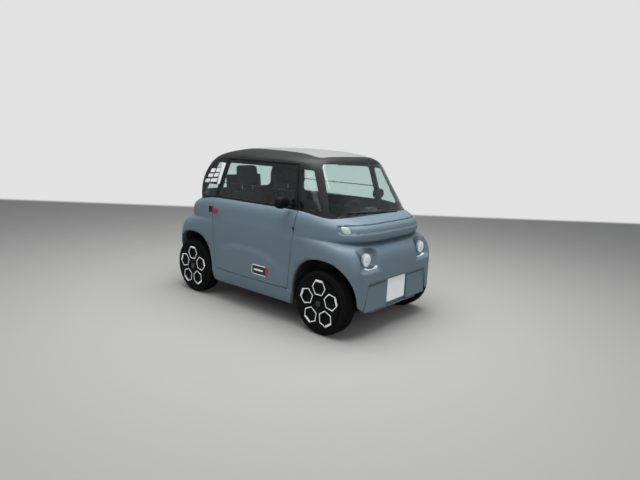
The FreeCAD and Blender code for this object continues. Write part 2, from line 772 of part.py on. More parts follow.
# Dashboard under the windscreen
dash_back = -CABIN_FRONT + 356
dash_outline = [(dash_back - 362, 880), (dash_back - 337, 922), (dash_back - 82, 926),
                (dash_back, 892), (dash_back - 4, 800), (dash_back - 117, 716),
                (dash_back - 232, 700), (dash_back - 362, 780)]
dash = side_prism(dash_outline, -HALF_SKIN + 37, HALF_SKIN - 37, 18).common(room)
keep("dashboard", dash)

# Floor with its bulkhead, trimmed to the walls and the wheel wells
floor_top = FLOOR_LOW + FLOOR_THICK
toe = -AXLE + 264
floor_line = [(toe, FLOOR_LOW), (NOSE - 25, FLOOR_LOW), (NOSE - 25, floor_top),
              (toe + 12, floor_top), (toe - 148, 730), (toe - 162, 730), (toe - 4, floor_top + 6)]
keep("floor", side_prism(floor_line, -FAR, FAR, 3).common(room).cut(dash))

# Steering wheel and column
tilt = math.radians(WHEEL_TILT)
column_axis = V(0, math.cos(tilt), math.sin(tilt))
hub = V(WHEEL_X, dash_back + WHEEL_TO_DASH, WHEEL_HEIGHT)


def along(distance):
    return hub.add(V(column_axis).multiply(distance))


grip_profile = []
for k in range(8):
    a = math.pi * (2 * k + 1) / 8
    grip_profile.append(V(WHEEL_GRIP + GRIP_RADIUS * math.cos(a), 0, GRIP_RADIUS * math.sin(a)))
grip = Part.Face(Part.makePolygon(grip_profile + grip_profile[:1])).revolve(ORIGIN, Z, 360)
grip.Placement = FreeCAD.Placement(hub, FreeCAD.Rotation(Z, column_axis))
boss = rod(along(-30), along(14), 46)
spokes = []
for angle in (0, 180, 270):
    a = math.radians(angle)
    out = V(math.cos(a), -math.sin(tilt) * math.sin(a), math.cos(tilt) * math.sin(a))
    end = along(-8).add(out.multiply(WHEEL_GRIP - 4))
    spokes.append(rod(along(-8), end, 11))
wheel_bore = rod(along(-60), along(2), SPINDLE_RADIUS + AXLE_PLAY)
keep("steering_wheel", grip.fuse([boss] + spokes).removeSplitter().cut(wheel_bore))
column = rod(along(-420), along(-36), 32).fuse(rod(along(-60), along(1), SPINDLE_RADIUS))
column = column.removeSplitter().cut([dash, PARTS["floor"]])
keep("steering_column", largest(column))


# Seats: a moulded shell, with a cushion, a back pad and a head pad resting on it
def seat(x, back):
    """Shell and pads of one seat whose hip line is the given way back."""
    w = SEAT_WIDTH / 2
    front_top = V(0, back - 170, SEAT_HIP - 46)
    crook = V(0, back + 330, SEAT_HIP - 70)
    top = V(0, back + 420, SEAT_TOP)
    shell_outline = [(back - 130, floor_top), (front_top.y, front_top.z), (crook.y, crook.z),
                     (top.y, top.z), (top.y + 42, top.z - 4),
                     (back + 402, SEAT_HIP - 130), (back + 330, floor_top)]
    base = side_prism(shell_outline, x - w, x + w, 14).cut(wells)

    def on_pan(y):
        share = (y - front_top.y) / (crook.y - front_top.y)
        return y, front_top.z + share * (crook.z - front_top.z) + PAD_SEAT

    def on_back(z):
        share = (z - crook.z) / (top.z - crook.z)
        return crook.y + share * (top.y - crook.y) - PAD_SEAT, z

    inset = w - 8
    pan = [on_pan(back - 176), on_pan(back + 312), (back + 318, SEAT_HIP + 4),
           (back - 172, SEAT_HIP + 30)]
    cushion = side_prism(pan, x - inset, x + inset, 22)
    low = SEAT_HIP + 20
    rest_top = SEAT_TOP - 150
    rest = [on_back(low), on_back(rest_top), (on_back(rest_top)[0] - 62, rest_top - 6),
            (on_back(low)[0] - 76, low)]
    backrest = side_prism(rest, x - inset, x + inset, 24)
    head_low = rest_top + 40
    head_high = head_low + 200
    head = [on_back(head_low), on_back(head_high), (on_back(head_high)[0] - 60, head_high - 4),
            (on_back(head_low)[0] - 66, head_low + 2)]
    headrest = side_prism(head, x - 120, x + 120, 24)
    return base, Part.makeCompound([cushion.cut(wells), backrest.cut(wells), headrest])


driver_shell, driver_pads = seat(SEAT_X, 0)
passenger_shell, passenger_pads = seat(-SEAT_X, PASSENGER_BACK)
keep("seat_shells", driver_shell.fuse(passenger_shell))
keep("driver_pads", driver_pads)
keep("passenger_pads", passenger_pads)

# Heavy masses: motor over the front axle, battery under the seats
motor = box(-150, 150, -AXLE - 146, -AXLE + 58, FLOOR_LOW, FLOOR_LOW + 244)
keep("motor", motor.makeChamfer(16, motor.Edges))
inner_rail = RAIL_X - half_rail
keep("battery", box(-inner_rail, inner_rail, half_bar, seat_bar - half_bar - BATTERY_GAP,
                    BATTERY_LOW, FLOOR_LOW))


# Wheels
def revolved(points):
    """Body of revolution about the axle from corners of (radius, way outboard)."""
    corners = [V(out, 0, radius) for radius, out in points]
    return Part.Face(Part.makePolygon(corners + corners[:1])).revolve(ORIGIN, X, 360)


def hexagon(middle, turn, size, x0, x1):
    """Hexagonal prism along the axle, one flat side towards the cover's edge."""
    corners = []
    for j in range(6):
        a = math.pi / 2 - turn + math.pi / 6 + j * math.pi / 3
        corners.append((middle[0] + size * math.cos(a), middle[1] + size * math.sin(a)))
    return side_prism(corners, x0, x1, 6)


def wheel():
    """Tyre, rim and cover of one wheel, the outboard face towards +X."""
    r = RIM_RADIUS
    wall = HALF_TYRE
    top = TYRE_RADIUS
    side = [(r, wall), (top - TREAD_CHAMFER, wall), (top, wall - SHOULDER)]
    tyre = revolved(side + [(a, -b) for a, b in reversed(side)])
    lip = wall + RIM_FLANGE
    bore = r - RIM_WALL
    edge = r + FLANGE_HEIGHT
    rim = revolved([
        (r, -wall), (edge, -wall), (edge, -lip), (bore, -lip), (bore, 22), (HUB_RADIUS, 34),
        (HUB_RADIUS, 20), (HUB_BORE, 20), (HUB_BORE, 46), (HUB_RADIUS, 46), (r - 26, 32),
        (bore, 34), (bore, lip), (edge, lip), (edge, wall), (r, wall)])
    face = HALF_TYRE + COVER_STAND
    back = face - COVER_WALL
    clip_edge = bore - COVER_WALL
    cover = revolved([
        (0, face), (150, face), (196, face - 2), (COVER_RADIUS, face - 5), (COVER_RADIUS, lip),
        (bore, lip), (bore, lip - 8), (clip_edge, lip - 8), (clip_edge, back), (0, back)])
    inside_edge = Part.makeCylinder(COVER_RADIUS - 3, 40, V(face - 20, 0, 0), X)
    rings = []
    sinks = []
    for k in range(HEXAGONS):
        turn = 2 * math.pi * k / HEXAGONS
        middle = (HEXAGON_RING * math.sin(turn), HEXAGON_RING * math.cos(turn))
        large = HEXAGON_SIZE + HEXAGON_LINE / 2
        small = HEXAGON_SIZE - HEXAGON_LINE / 2
        raised = hexagon(middle, turn, large, face - 5, face + HEXAGON_RAISE)
        hole = hexagon(middle, turn, small, face - HEXAGON_SINK, face + 9)
        rings.append(raised.common(inside_edge))
        sinks.append(hole)
    cover = cover.fuse(rings).cut(sinks).removeSplitter()
    return {"tyre": tyre, "rim": rim, "cover": cover}


for name, shape in wheel().items():
    for side, side_name in ((-1, "right"), (1, "left")):
        piece = shape if side > 0 else mirrored(shape)
        for end, end_name in ((-1, "front"), (1, "rear")):
            place = V(side * TYRE_MIDDLE, end * AXLE, TYRE_RADIUS)
            keep(name + "_" + end_name + "_" + side_name, piece.translated(place))

# Right front knuckle on its leaning steering axis, with the strut tube
ball = V(-BALL_JOINT[0], -AXLE, BALL_JOINT[1])
strut_top = V(-STRUT_TOP[0], -AXLE, STRUT_TOP[1])
king = strut_top.sub(ball).normalize()


def on_king(z):
    return ball.add(V(king).multiply((z - ball.z) / king.z))


stub = HUB_BORE - AXLE_PLAY
hub_y = -AXLE
hub_z = TYRE_RADIUS
stub_end = TYRE_MIDDLE + 44
carrier_x = TYRE_MIDDLE + 14
ball_z = BALL_JOINT[1]
carrier = Part.makeCylinder(52, 22, V(-carrier_x, hub_y, hub_z), X)
axle_pin = Part.makeCylinder(stub, stub_end - carrier_x + 2, V(-stub_end, hub_y, hub_z), X)
lower_eye = rod(on_king(ball_z + 16), on_king(ball_z + 44), 17)
upper_eye = rod(on_king(hub_z + 76), on_king(hub_z + 124), 30)
lower_web = box(-carrier_x, -carrier_x + 22, hub_y - 16, hub_y + 16, ball_z + 26, hub_z - 36)
lower_link = box(-carrier_x, on_king(ball_z + 30).x + 6, hub_y - 14, hub_y + 14,
                 ball_z + 24, ball_z + 42)
upper_web = box(-carrier_x, -carrier_x + 22, hub_y - 20, hub_y + 20, hub_z + 34, hub_z + 116)
upper_link = box(-carrier_x, on_king(hub_z + 100).x + 8, hub_y - 18, hub_y + 18,
                 hub_z + 86, hub_z + 114)
tube = rod(on_king(hub_z + 76), on_king(STRUT_TOP[1] - 116), STRUT_RADIUS)
stem = rod(on_king(STRUT_TOP[1] - 128), on_king(STRUT_TOP[1] - 18), STEM_RADIUS)
arm_end = V(on_king(RACK_HEIGHT).x, hub_y + STEER_ARM, RACK_HEIGHT)
steer_arm = rod(V(-carrier_x + 11, hub_y + 36, RACK_HEIGHT - 4), arm_end, 7)
steer_eye = Part.makeCylinder(9, 18, arm_end.sub(V(0, 9, 0)), Y)
bell = Part.makeCylinder(30, 24, V(-carrier_x + 20, hub_y, hub_z), X)
ball_bore = rod(on_king(ball_z - 2), on_king(ball_z + 36), BALL_RADIUS + PIN_PLAY)
knuckle = carrier.fuse([axle_pin, lower_eye, upper_eye, lower_web, lower_link, upper_web,
                        upper_link, tube, stem, steer_arm, steer_eye, bell])
knuckle = knuckle.removeSplitter().cut(ball_bore)
keep("knuckle_right", knuckle)
keep("knuckle_left", mirrored(knuckle))

# Front suspension: lower arms with their ball pins, and the strut bearings above
ball_pin = rod(on_king(ball_z - 6), on_king(ball_z + 34), BALL_RADIUS)
ball_cup = rod(on_king(ball_z - 14), on_king(ball_z + 14), 17)
arm_foot = RAIL_X - 22
plate_tip = on_king(ball_z - 2).x + 4
arm_outline = [(plate_tip, hub_y - 14), (plate_tip, hub_y + 14), (-arm_foot - 32, hub_y + 130),
               (-arm_foot, hub_y + 130), (-arm_foot, hub_y - 130), (-arm_foot - 32, hub_y - 130)]
arm_plate = plan_prism(arm_outline, ball_z - 6, ball_z + 8, 5)
arm_plate = arm_plate.cut(plan_prism(
    [(plate_tip + 91, hub_y), (-arm_foot - 50, hub_y + 76), (-arm_foot - 50, hub_y - 76)],
    ball_z - 12, ball_z + 14, 8))
brackets = [box(-arm_foot - 36, -arm_foot + 2, hub_y + y - 16, hub_y + y + 16, ball_z - 6, rail_low)
            for y in (-112, 112)]
front_arm = arm_plate.fuse([ball_cup, ball_pin] + brackets).removeSplitter()
bearing_low = STRUT_TOP[1] - 48
bearing = rod(on_king(bearing_low - 20), on_king(bearing_low + 140), 30).cut(
    rod(on_king(bearing_low - 30), on_king(bearing_low + 36), STEM_RADIUS + PIN_PLAY))
bearing = bearing.common(arch(0, hub_y, -700, -300))
bearing = bearing.common(box(-600, -300, hub_y - 136, hub_y + 164, bearing_low, bearing_low + 120))
keep("lower_arms", both(front_arm))
keep("strut_bearings", both(bearing))

# Rear suspension: trailing arms on a cross tube, with hub stubs and dampers
rear_stub = Part.makeCylinder(stub, stub_end - carrier_x + 20, V(-stub_end, AXLE, hub_z), X)
rear_plate = Part.makeCylinder(60, 16, V(-carrier_x, AXLE, hub_z), X)
tube_y = AXLE - TUBE_TO_AXLE
trail = rod(V(-480, AXLE, hub_z), V(-420, tube_y, TUBE_HEIGHT), TUBE_RADIUS)
spindle = rod(V(-carrier_x + 4, AXLE, hub_z), V(-478, AXLE, hub_z), 26)
knee = Part.makeCylinder(27, 54, V(-507, AXLE, hub_z), X)
damper = rod(V(-462, AXLE + 20, hub_z + 14), V(-430, AXLE + 30, hub_z + 244), 20).fuse(
    rod(V(-430, AXLE + 30, hub_z + 242), V(-418, AXLE + 33, hub_z + 374), 9))
damper = damper.common(arch(-0.2, AXLE, -700, -LINER_INNER - LINER - 0.2))
cross = rod(V(-430, tube_y, TUBE_HEIGHT), V(0, tube_y, TUBE_HEIGHT), TUBE_RADIUS)
hanger = box(-RAIL_X - 20, -RAIL_X + 20, tube_y - 14, tube_y + 14, TUBE_HEIGHT, rail_low)
rear_half = rear_plate.fuse([rear_stub, trail, spindle, knee, damper, cross, hanger])
rear_half = rear_half.common(box(-FAR, 0, -FAR, FAR, 0, FAR))
keep("rear_suspension", both(rear_half).removeSplitter())

# Drive shafts from the motor to a ball on the steering axis
joint = on_king(hub_z)
shaft = rod(V(-140, hub_y, hub_z + 54), V(-215, hub_y, hub_z + 39), 24).fuse(
    rod(V(-205, hub_y, hub_z + 41), joint, 11)).fuse(
    Part.makeCylinder(20, 30, joint.sub(V(15, 0, 0)), X))
keep("drive_shafts", both(shaft.cut(PARTS["motor"])))

# Steering rack with its tie rods, which slides across the car in its housing
rack_y = -STEER_LINE
rack_end = HOUSING_HALF + 80
tie = rod(V(-rack_end + 10, rack_y, RACK_HEIGHT), V(arm_end.x, rack_y, RACK_HEIGHT), 6)
tie_eye = Part.makeCylinder(12, 12, V(arm_end.x, rack_y - 6, RACK_HEIGHT), Y)
rack_bar = rod(V(0, rack_y, RACK_HEIGHT), V(-rack_end, rack_y, RACK_HEIGHT), RACK_RADIUS)
keep("steering_rack", both(tie.fuse([tie_eye, rack_bar])).removeSplitter())
housing = rod(V(-HOUSING_HALF, rack_y, RACK_HEIGHT), V(HOUSING_HALF, rack_y, RACK_HEIGHT),
              HOUSING_RADIUS)
feet = [box(x - 20, x + 20, rack_y - 18, rack_y + 18, FLOOR_LOW, RACK_HEIGHT)
        for x in (-160, 160)]
rack_bore = rod(V(-rack_end, rack_y, RACK_HEIGHT), V(rack_end, rack_y, RACK_HEIGHT),
                RACK_RADIUS + PIN_PLAY)
keep("rack_housing", housing.fuse(feet).cut(rack_bore))


# Wiper along the foot of the windscreen
def on_screen(x, z, lift):
    """Point in front of the windscreen by the lift."""
    line = Part.LineSegment(V(x, -NOSE, z), V(x, 0, z)).toShape()
    y = line.common(cabin_outer).BoundBox.YMin
    return V(x, y - lift, z)


screen_low = SCREEN_FOOT[1]
blade_points = [on_screen(x, screen_low + 20 + 0.04 * abs(x), 11)
                for x in (-380, -260, -130, 0, 130)]
blade = [rod(a, b, 6) for a, b in zip(blade_points, blade_points[1:])]
pivot = on_screen(300, screen_low + 1, 14)
wiper_arm = rod(pivot, blade_points[2], 7)
spindle_post = rod(pivot, V(pivot.x, pivot.y + 20, screen_low - 44), 10)
wiper = blade[0].fuse(blade[1:] + [wiper_arm, spindle_post])
keep("wiper", wiper.cut([PARTS["front_body"], cabin_outer]))

for node, shape in PARTS.items():
    shape.exportStep("parts/" + node + ".step")
    print(node, len(shape.Solids), round(shape.Volume / 1e6, 2), shape.isValid())
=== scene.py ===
import json
import math

import bmesh
import bpy
import numpy as np
from mathutils import Matrix, Vector
from mathutils.bvhtree import BVHTree

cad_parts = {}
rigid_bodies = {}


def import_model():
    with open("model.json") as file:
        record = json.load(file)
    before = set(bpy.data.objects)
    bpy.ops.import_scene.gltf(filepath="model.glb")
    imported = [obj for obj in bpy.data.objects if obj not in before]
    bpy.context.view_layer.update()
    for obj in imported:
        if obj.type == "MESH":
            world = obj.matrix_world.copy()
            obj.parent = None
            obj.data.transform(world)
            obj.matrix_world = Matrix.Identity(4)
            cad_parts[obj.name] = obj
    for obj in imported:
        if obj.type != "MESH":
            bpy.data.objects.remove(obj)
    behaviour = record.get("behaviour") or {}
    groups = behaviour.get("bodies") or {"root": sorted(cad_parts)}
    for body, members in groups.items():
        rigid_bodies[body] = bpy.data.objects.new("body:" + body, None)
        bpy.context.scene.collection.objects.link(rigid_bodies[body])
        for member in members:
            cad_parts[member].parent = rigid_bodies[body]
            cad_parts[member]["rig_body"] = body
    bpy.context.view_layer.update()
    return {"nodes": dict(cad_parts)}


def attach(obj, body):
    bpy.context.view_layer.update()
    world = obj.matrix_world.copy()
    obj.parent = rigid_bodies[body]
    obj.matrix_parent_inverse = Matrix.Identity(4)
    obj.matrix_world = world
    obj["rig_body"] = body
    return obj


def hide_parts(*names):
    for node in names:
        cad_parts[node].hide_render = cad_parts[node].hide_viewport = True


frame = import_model()
nodes = frame["nodes"]

# Body mouldings. Front and rear clip, sills, bumper inserts and door skins are thermoformed
# from blue-grey plastic that is coloured right through, left unpainted and lightly grained.
# The finger recess behind each door's free edge is lined in black.
BODY_COLOUR = (0.118, 0.171, 0.205, 1)
BODY_SHADE = (0.106, 0.155, 0.188, 1)
BODY_MOULDINGS = [
    "front_body", "rear_body", "sills", "bumper_inserts", "door_panel_right",
    "door_panel_left",
]
CUP_FORE = (0.585, 0.032)
CUP_HEIGHT = (0.899, 0.030)
CUP_FLOOR = 0.6665


def finish(name, colour, roughness, **sockets):
    """A material whose shader carries a plain colour and roughness, ready for its texture."""
    material = bpy.data.materials.new(name)
    material.use_nodes = True
    skin = material.node_tree.nodes["Principled BSDF"]
    skin.inputs["Base Color"].default_value = colour
    skin.inputs["Roughness"].default_value = roughness
    for socket, value in sockets.items():
        skin.inputs[socket.replace("_", " ")].default_value = value
    material.diffuse_color = colour
    return material


def node(material, kind, **values):
    """Adds a shader node and sets its properties and its named sockets."""
    made = material.node_tree.nodes.new(kind)
    for key, value in values.items():
        if hasattr(made, key):
            setattr(made, key, value)
        else:
            made.inputs[key.replace("_", " ")].default_value = value
    return made


def join(material, *chain):
    """Links output to input along pairs of (node, socket)."""
    for (a, out), (b, into) in zip(chain[::2], chain[1::2]):
        material.node_tree.links.new(a.outputs[out], b.inputs[into])


def grained(material, second_colour, patch, grain, depth, polish=0.08):
    """Broad drift between two colours, fine grain in relief, and uneven polish."""
    skin = material.node_tree.nodes["Principled BSDF"]
    place = node(material, "ShaderNodeTexCoord")
    drift = node(material, "ShaderNodeTexNoise", Scale=patch, Detail=3.0)
    tint = node(material, "ShaderNodeMix", data_type="RGBA")
    tint.inputs[6].default_value = skin.inputs["Base Color"].default_value
    tint.inputs[7].default_value = second_colour
    fine = node(material, "ShaderNodeTexNoise", Scale=grain, Detail=4.0, Roughness=0.62)
    relief = node(material, "ShaderNodeBump", Strength=0.35, Distance=depth)
    sheen = node(material, "ShaderNodeMapRange")
    sheen.inputs["To Min"].default_value = skin.inputs["Roughness"].default_value - polish
    sheen.inputs["To Max"].default_value = skin.inputs["Roughness"].default_value + polish
    join(material, (place, "Object"), (drift, "Vector"), (drift, "Fac"), (tint, 0),
         (tint, 2), (skin, "Base Color"), (place, "Object"), (fine, "Vector"),
         (fine, "Fac"), (relief, "Height"), (relief, "Normal"), (skin, "Normal"),
         (drift, "Fac"), (sheen, "Value"), (sheen, "Result"), (skin, "Roughness"))
    return material


def from_middle(material):
    """Distances from the car's middle along X and Y, and the height, as three sockets."""
    place = node(material, "ShaderNodeTexCoord")
    unsigned = node(material, "ShaderNodeVectorMath", operation="ABSOLUTE")
    parts = node(material, "ShaderNodeSeparateXYZ")
    join(material, (place, "Object"), (unsigned, 0), (unsigned, 0), (parts, 0))
    return parts.outputs


def work_out(material, operation, *terms):
    """One sum on sockets or plain numbers; gives the socket with its result."""
    step = node(material, "ShaderNodeMath", operation=operation)
    for slot_number, term in enumerate(terms):
        if isinstance(term, (int, float)):
            step.inputs[slot_number].default_value = term
        else:
            material.node_tree.links.new(term, step.inputs[slot_number])
    return step.outputs[0]


def near(material, value, middle, reach):
    """1 where the value lies within the reach of its middle, otherwise 0."""
    return work_out(material, "COMPARE", value, middle, reach)


def overlay(material, where, colour, socket="Base Color"):
    """Lays a second colour over the shader's own wherever the factor is 1."""
    skin = material.node_tree.nodes["Principled BSDF"]
    into = skin.inputs[socket]
    coat = node(material, "ShaderNodeMix", data_type="RGBA")
    coat.inputs[6].default_value = into.default_value
    coat.inputs[7].default_value = colour
    if into.links:
        material.node_tree.links.new(into.links[0].from_socket, coat.inputs[6])
    material.node_tree.links.new(where, coat.inputs[0])
    material.node_tree.links.new(coat.outputs[2], into)


def tidied(mesh, material, gap, crease):
    """Merges loose corners, turns the faces outward and shades them as one skin."""
    skin = bmesh.new()
    skin.from_mesh(mesh)
    bmesh.ops.remove_doubles(skin, verts=skin.verts, dist=gap)
    bmesh.ops.dissolve_degenerate(skin, edges=skin.edges, dist=gap / 2)
    bmesh.ops.recalc_face_normals(skin, faces=skin.faces)
    skin.to_mesh(mesh)
    skin.free()
    mesh.materials.clear()
    mesh.materials.append(material)
    mesh.polygons.foreach_set("material_index", np.zeros(len(mesh.polygons), int))
    mesh.shade_smooth()
    mesh.set_sharp_from_angle(angle=math.radians(crease))


def placed(name, mesh, body):
    """Puts the mesh in the scene as a piece that rides on a body."""
    piece = bpy.data.objects.new(name, mesh)
    bpy.context.scene.collection.objects.link(piece)
    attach(piece, body)
    return piece


def moulding(node_name, material, crease=32):
    """The CAD piece with its loose facets merged and shaded as one smooth skin."""
    source = nodes[node_name]
    mesh = source.data.copy()
    mesh.name = node_name + "_skin"
    tidied(mesh, material, 2e-5, crease)
    piece = placed(node_name + "_finished", mesh, source["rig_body"])
    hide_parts(node_name)
    return piece


body_plastic = grained(
    finish("Blue_grey_plastic", BODY_COLOUR, 0.46, Specular_IOR_Level=0.42),
    BODY_SHADE, 2.2, 900.0, 0.0006)
out, fore, height = from_middle(body_plastic)
in_cup = work_out(body_plastic, "MULTIPLY", near(body_plastic, fore, *CUP_FORE),
                  near(body_plastic, height, *CUP_HEIGHT))
in_cup = work_out(body_plastic, "MULTIPLY", in_cup,
                  work_out(body_plastic, "LESS_THAN", out, CUP_FLOOR))
signed = node(body_plastic, "ShaderNodeSeparateXYZ")
join(body_plastic, (node(body_plastic, "ShaderNodeTexCoord"), "Object"), (signed, 0))
# A free edge is the right door's rear one or the left door's front one: x * y is negative
free_corner = work_out(body_plastic, "LESS_THAN", work_out(
    body_plastic, "MULTIPLY", signed.outputs[0], signed.outputs[1]), 0.0)
in_cup = work_out(body_plastic, "MULTIPLY", in_cup, free_corner)
overlay(body_plastic, in_cup, (0.006, 0.006, 0.007, 1))
for name in BODY_MOULDINGS:
    moulding(name, body_plastic, 14 if name == "bumper_inserts" else 32)

# Door badges and tabs. A moulded badge low on each door: white outline and bar on a black
# field with a red front end, glued to the skin. The red strap above is the door's pull.
BADGE_MIDDLE = (0.168, 0.4295)
BADGE_HALF = (0.107, 0.0465)
BADGE_LINE = 0.009
BADGE_BAR_MIDDLE = 0.152
BADGE_BAR_HALF = (0.060, 0.0085)
BADGE_RED_END = 0.244
BADGE_RISE = 0.0014
BADGE_SINK = 0.001
OUTSIDE = 1.2


def build(name, grids, material, body, closed=False, crease=35):
    """Skins over grids of points: each row is a ring, and row after row makes a tube.

    Quad (i, j) spans rows i and i + 1 and columns j and j + 1. The ends are capped, or the
    last row joins the first one again (closed)."""
    points = []
    faces = []
    for grid in grids:
        rows, columns = grid.shape[:2]
        index = np.arange(rows * columns).reshape(rows, columns) + sum(map(len, points))
        index = np.hstack([index, index[:, :1]])
        if closed:
            index = np.vstack([index, index[:1]])
        else:
            faces += [index[0, :-1][::-1].tolist(), index[-1, :-1].tolist()]
        quads = np.stack([index[:-1, :-1], index[:-1, 1:], index[1:, 1:], index[1:, :-1]], -1)
        faces += quads.reshape(-1, 4).tolist()
        points.append(grid.reshape(-1, 3))
    mesh = bpy.data.meshes.new(name)
    mesh.from_pydata(np.concatenate(points).tolist(), [], faces)
    tidied(mesh, material, 1e-6, crease)
    return placed(name, mesh, body)


def skin_under(*names):
    """Search tree over the facets of some CAD pieces."""
    points = []
    faces = []
    for name in names:
        mesh = nodes[name].data
        start = len(points)
        points += [v.co.copy() for v in mesh.vertices]
        faces += [[start + k for k in f.vertices] for f in mesh.polygons]
    return BVHTree.FromPolygons(points, faces)


def laid(tree, flat, start, aim, low, high):
    """A thin slab that follows a skin. Each point of the flat grid is sent from the start
    along the aim until it meets the skin; one face stands off by low, the other by high.
    A point that meets nothing stays in its place."""
    aim = Vector(aim)
    base = flat.copy()
    for spot in np.ndindex(flat.shape[:2]):
        hit = tree.ray_cast(Vector(flat[spot]) + Vector(start), aim)[0]
        if hit is not None:
            base[spot] = hit
    back = np.array(aim)
    return np.concatenate([base - back * high, (base - back * low)[:, ::-1]], axis=1)


def side_patch(tree, side, middle, half, power, low, high, rows=28, columns=12):
    """Slab on the car's side with a rounded outline: at a share t of the half length it is
    (1 - |t|^power)^(1/power) of its full height."""
    t = np.sin(np.linspace(-math.pi / 2, math.pi / 2, rows))
    tall = half[1] * (1 - np.abs(t) ** power) ** (1 / power) + 1e-5
    v = np.linspace(-1, 1, columns)
    flat = np.zeros((rows, columns, 3))
    flat[..., 1] = (middle[0] + half[0] * t)[:, None]
    flat[..., 2] = middle[1] + tall[:, None] * v
    return laid(tree, flat, (side * OUTSIDE, 0, 0), (-side, 0, 0), low, high)


badge_plastic = grained(
    finish("Badge_black", (0.006, 0.006, 0.007, 1), 0.25), (0.010, 0.010, 0.011, 1),
    30.0, 900.0, 0.0002)
fore, height = from_middle(badge_plastic)[1:]
across = work_out(badge_plastic, "ABSOLUTE",
                  work_out(badge_plastic, "SUBTRACT", fore, BADGE_MIDDLE[0]))
upward = work_out(badge_plastic, "ABSOLUTE",
                  work_out(badge_plastic, "SUBTRACT", height, BADGE_MIDDLE[1]))
outline = work_out(
    badge_plastic, "MAXIMUM",
    work_out(badge_plastic, "GREATER_THAN", across, BADGE_HALF[0] - BADGE_LINE),
    work_out(badge_plastic, "GREATER_THAN", upward, BADGE_HALF[1] - BADGE_LINE))
bar = work_out(badge_plastic, "MULTIPLY",
               near(badge_plastic, fore, BADGE_BAR_MIDDLE, BADGE_BAR_HALF[0]),
               work_out(badge_plastic, "LESS_THAN", upward, BADGE_BAR_HALF[1]))
overlay(badge_plastic, work_out(badge_plastic, "MAXIMUM", outline, bar), (0.72, 0.74, 0.76, 1))
overlay(badge_plastic, work_out(badge_plastic, "GREATER_THAN", fore, BADGE_RED_END),
        (0.30, 0.022, 0.045, 1))
strap = grained(
    finish("Red_strap", (0.33, 0.020, 0.050, 1), 0.8), (0.22, 0.012, 0.03, 1), 25.0, 1400.0,
    0.0008)
for side, side_name in ((-1, "right"), (1, "left")):
    door_skin = skin_under("door_panel_" + side_name)
    badge = side_patch(door_skin, side, (side * BADGE_MIDDLE[0], BADGE_MIDDLE[1]), BADGE_HALF,
                       6, -BADGE_SINK, BADGE_RISE)
    build("door_badge_" + side_name, [badge], badge_plastic, "door_" + side_name)
    moulding("door_tab_" + side_name, strap)

# Cabin frame. Roof shell, pillars and the doors' window frames are satin black plastic, with
# a light grey panel let into the middle of the roof and a gloss drip rail above each door.
ROUND = 2 * math.pi
RAIL_RADIUS = 0.0042
RAIL_HEIGHT = 1.409
RAIL_ENDS = (-0.47, 0.49)
RAIL_STAND = 0.001
black_plastic = grained(
    finish("Satin_black_plastic", (0.008, 0.009, 0.009, 1), 0.44, Specular_IOR_Level=0.20),
    (0.011, 0.012, 0.012, 1), 3.0, 700.0, 0.0004)
roof_plastic = grained(
    finish("Light_grey_roof_plastic", (0.20, 0.205, 0.205, 1), 0.46),
    (0.18, 0.185, 0.185, 1), 2.0, 500.0, 0.0004)
gloss_black = grained(
    finish("Gloss_black", (0.008, 0.008, 0.009, 1), 0.12), (0.012, 0.012, 0.013, 1),
    10.0, 300.0, 0.0001, 0.04)
for name in ("cabin_frame", "door_frame_right", "door_frame_left"):
    moulding(name, black_plastic)
moulding("roof_panel", roof_plastic)


def tube(path, radius, sides=12):
    """Round bar along a path: at each of its points a circle of the radius, square to it."""
    path = np.asarray(path, float)
    ahead = np.gradient(path, axis=0)
    ahead /= np.linalg.norm(ahead, axis=1, keepdims=True)
    aside = np.cross(ahead, (0.31, 0.17, 0.93))
    aside /= np.linalg.norm(aside, axis=1, keepdims=True)
    over = np.cross(aside, ahead)
    turn = np.linspace(0, ROUND, sides, endpoint=False)
    ring = (np.cos(turn)[None, :, None] * aside[:, None]
            + np.sin(turn)[None, :, None] * over[:, None])
    return path[:, None] + radius * ring


cabin_side = skin_under("cabin_frame")
for side, side_name in ((-1, "right"), (1, "left")):
    line = []
    for y in np.linspace(*RAIL_ENDS, 40):
        start = Vector((side * OUTSIDE, y, RAIL_HEIGHT))
        spot = cabin_side.ray_cast(start, Vector((-side, 0, 0)))[0]
        line.append((spot.x + side * RAIL_STAND, spot.y, spot.z))
    build("drip_rail_" + side_name, [tube(line, RAIL_RADIUS)], gloss_black, "body")

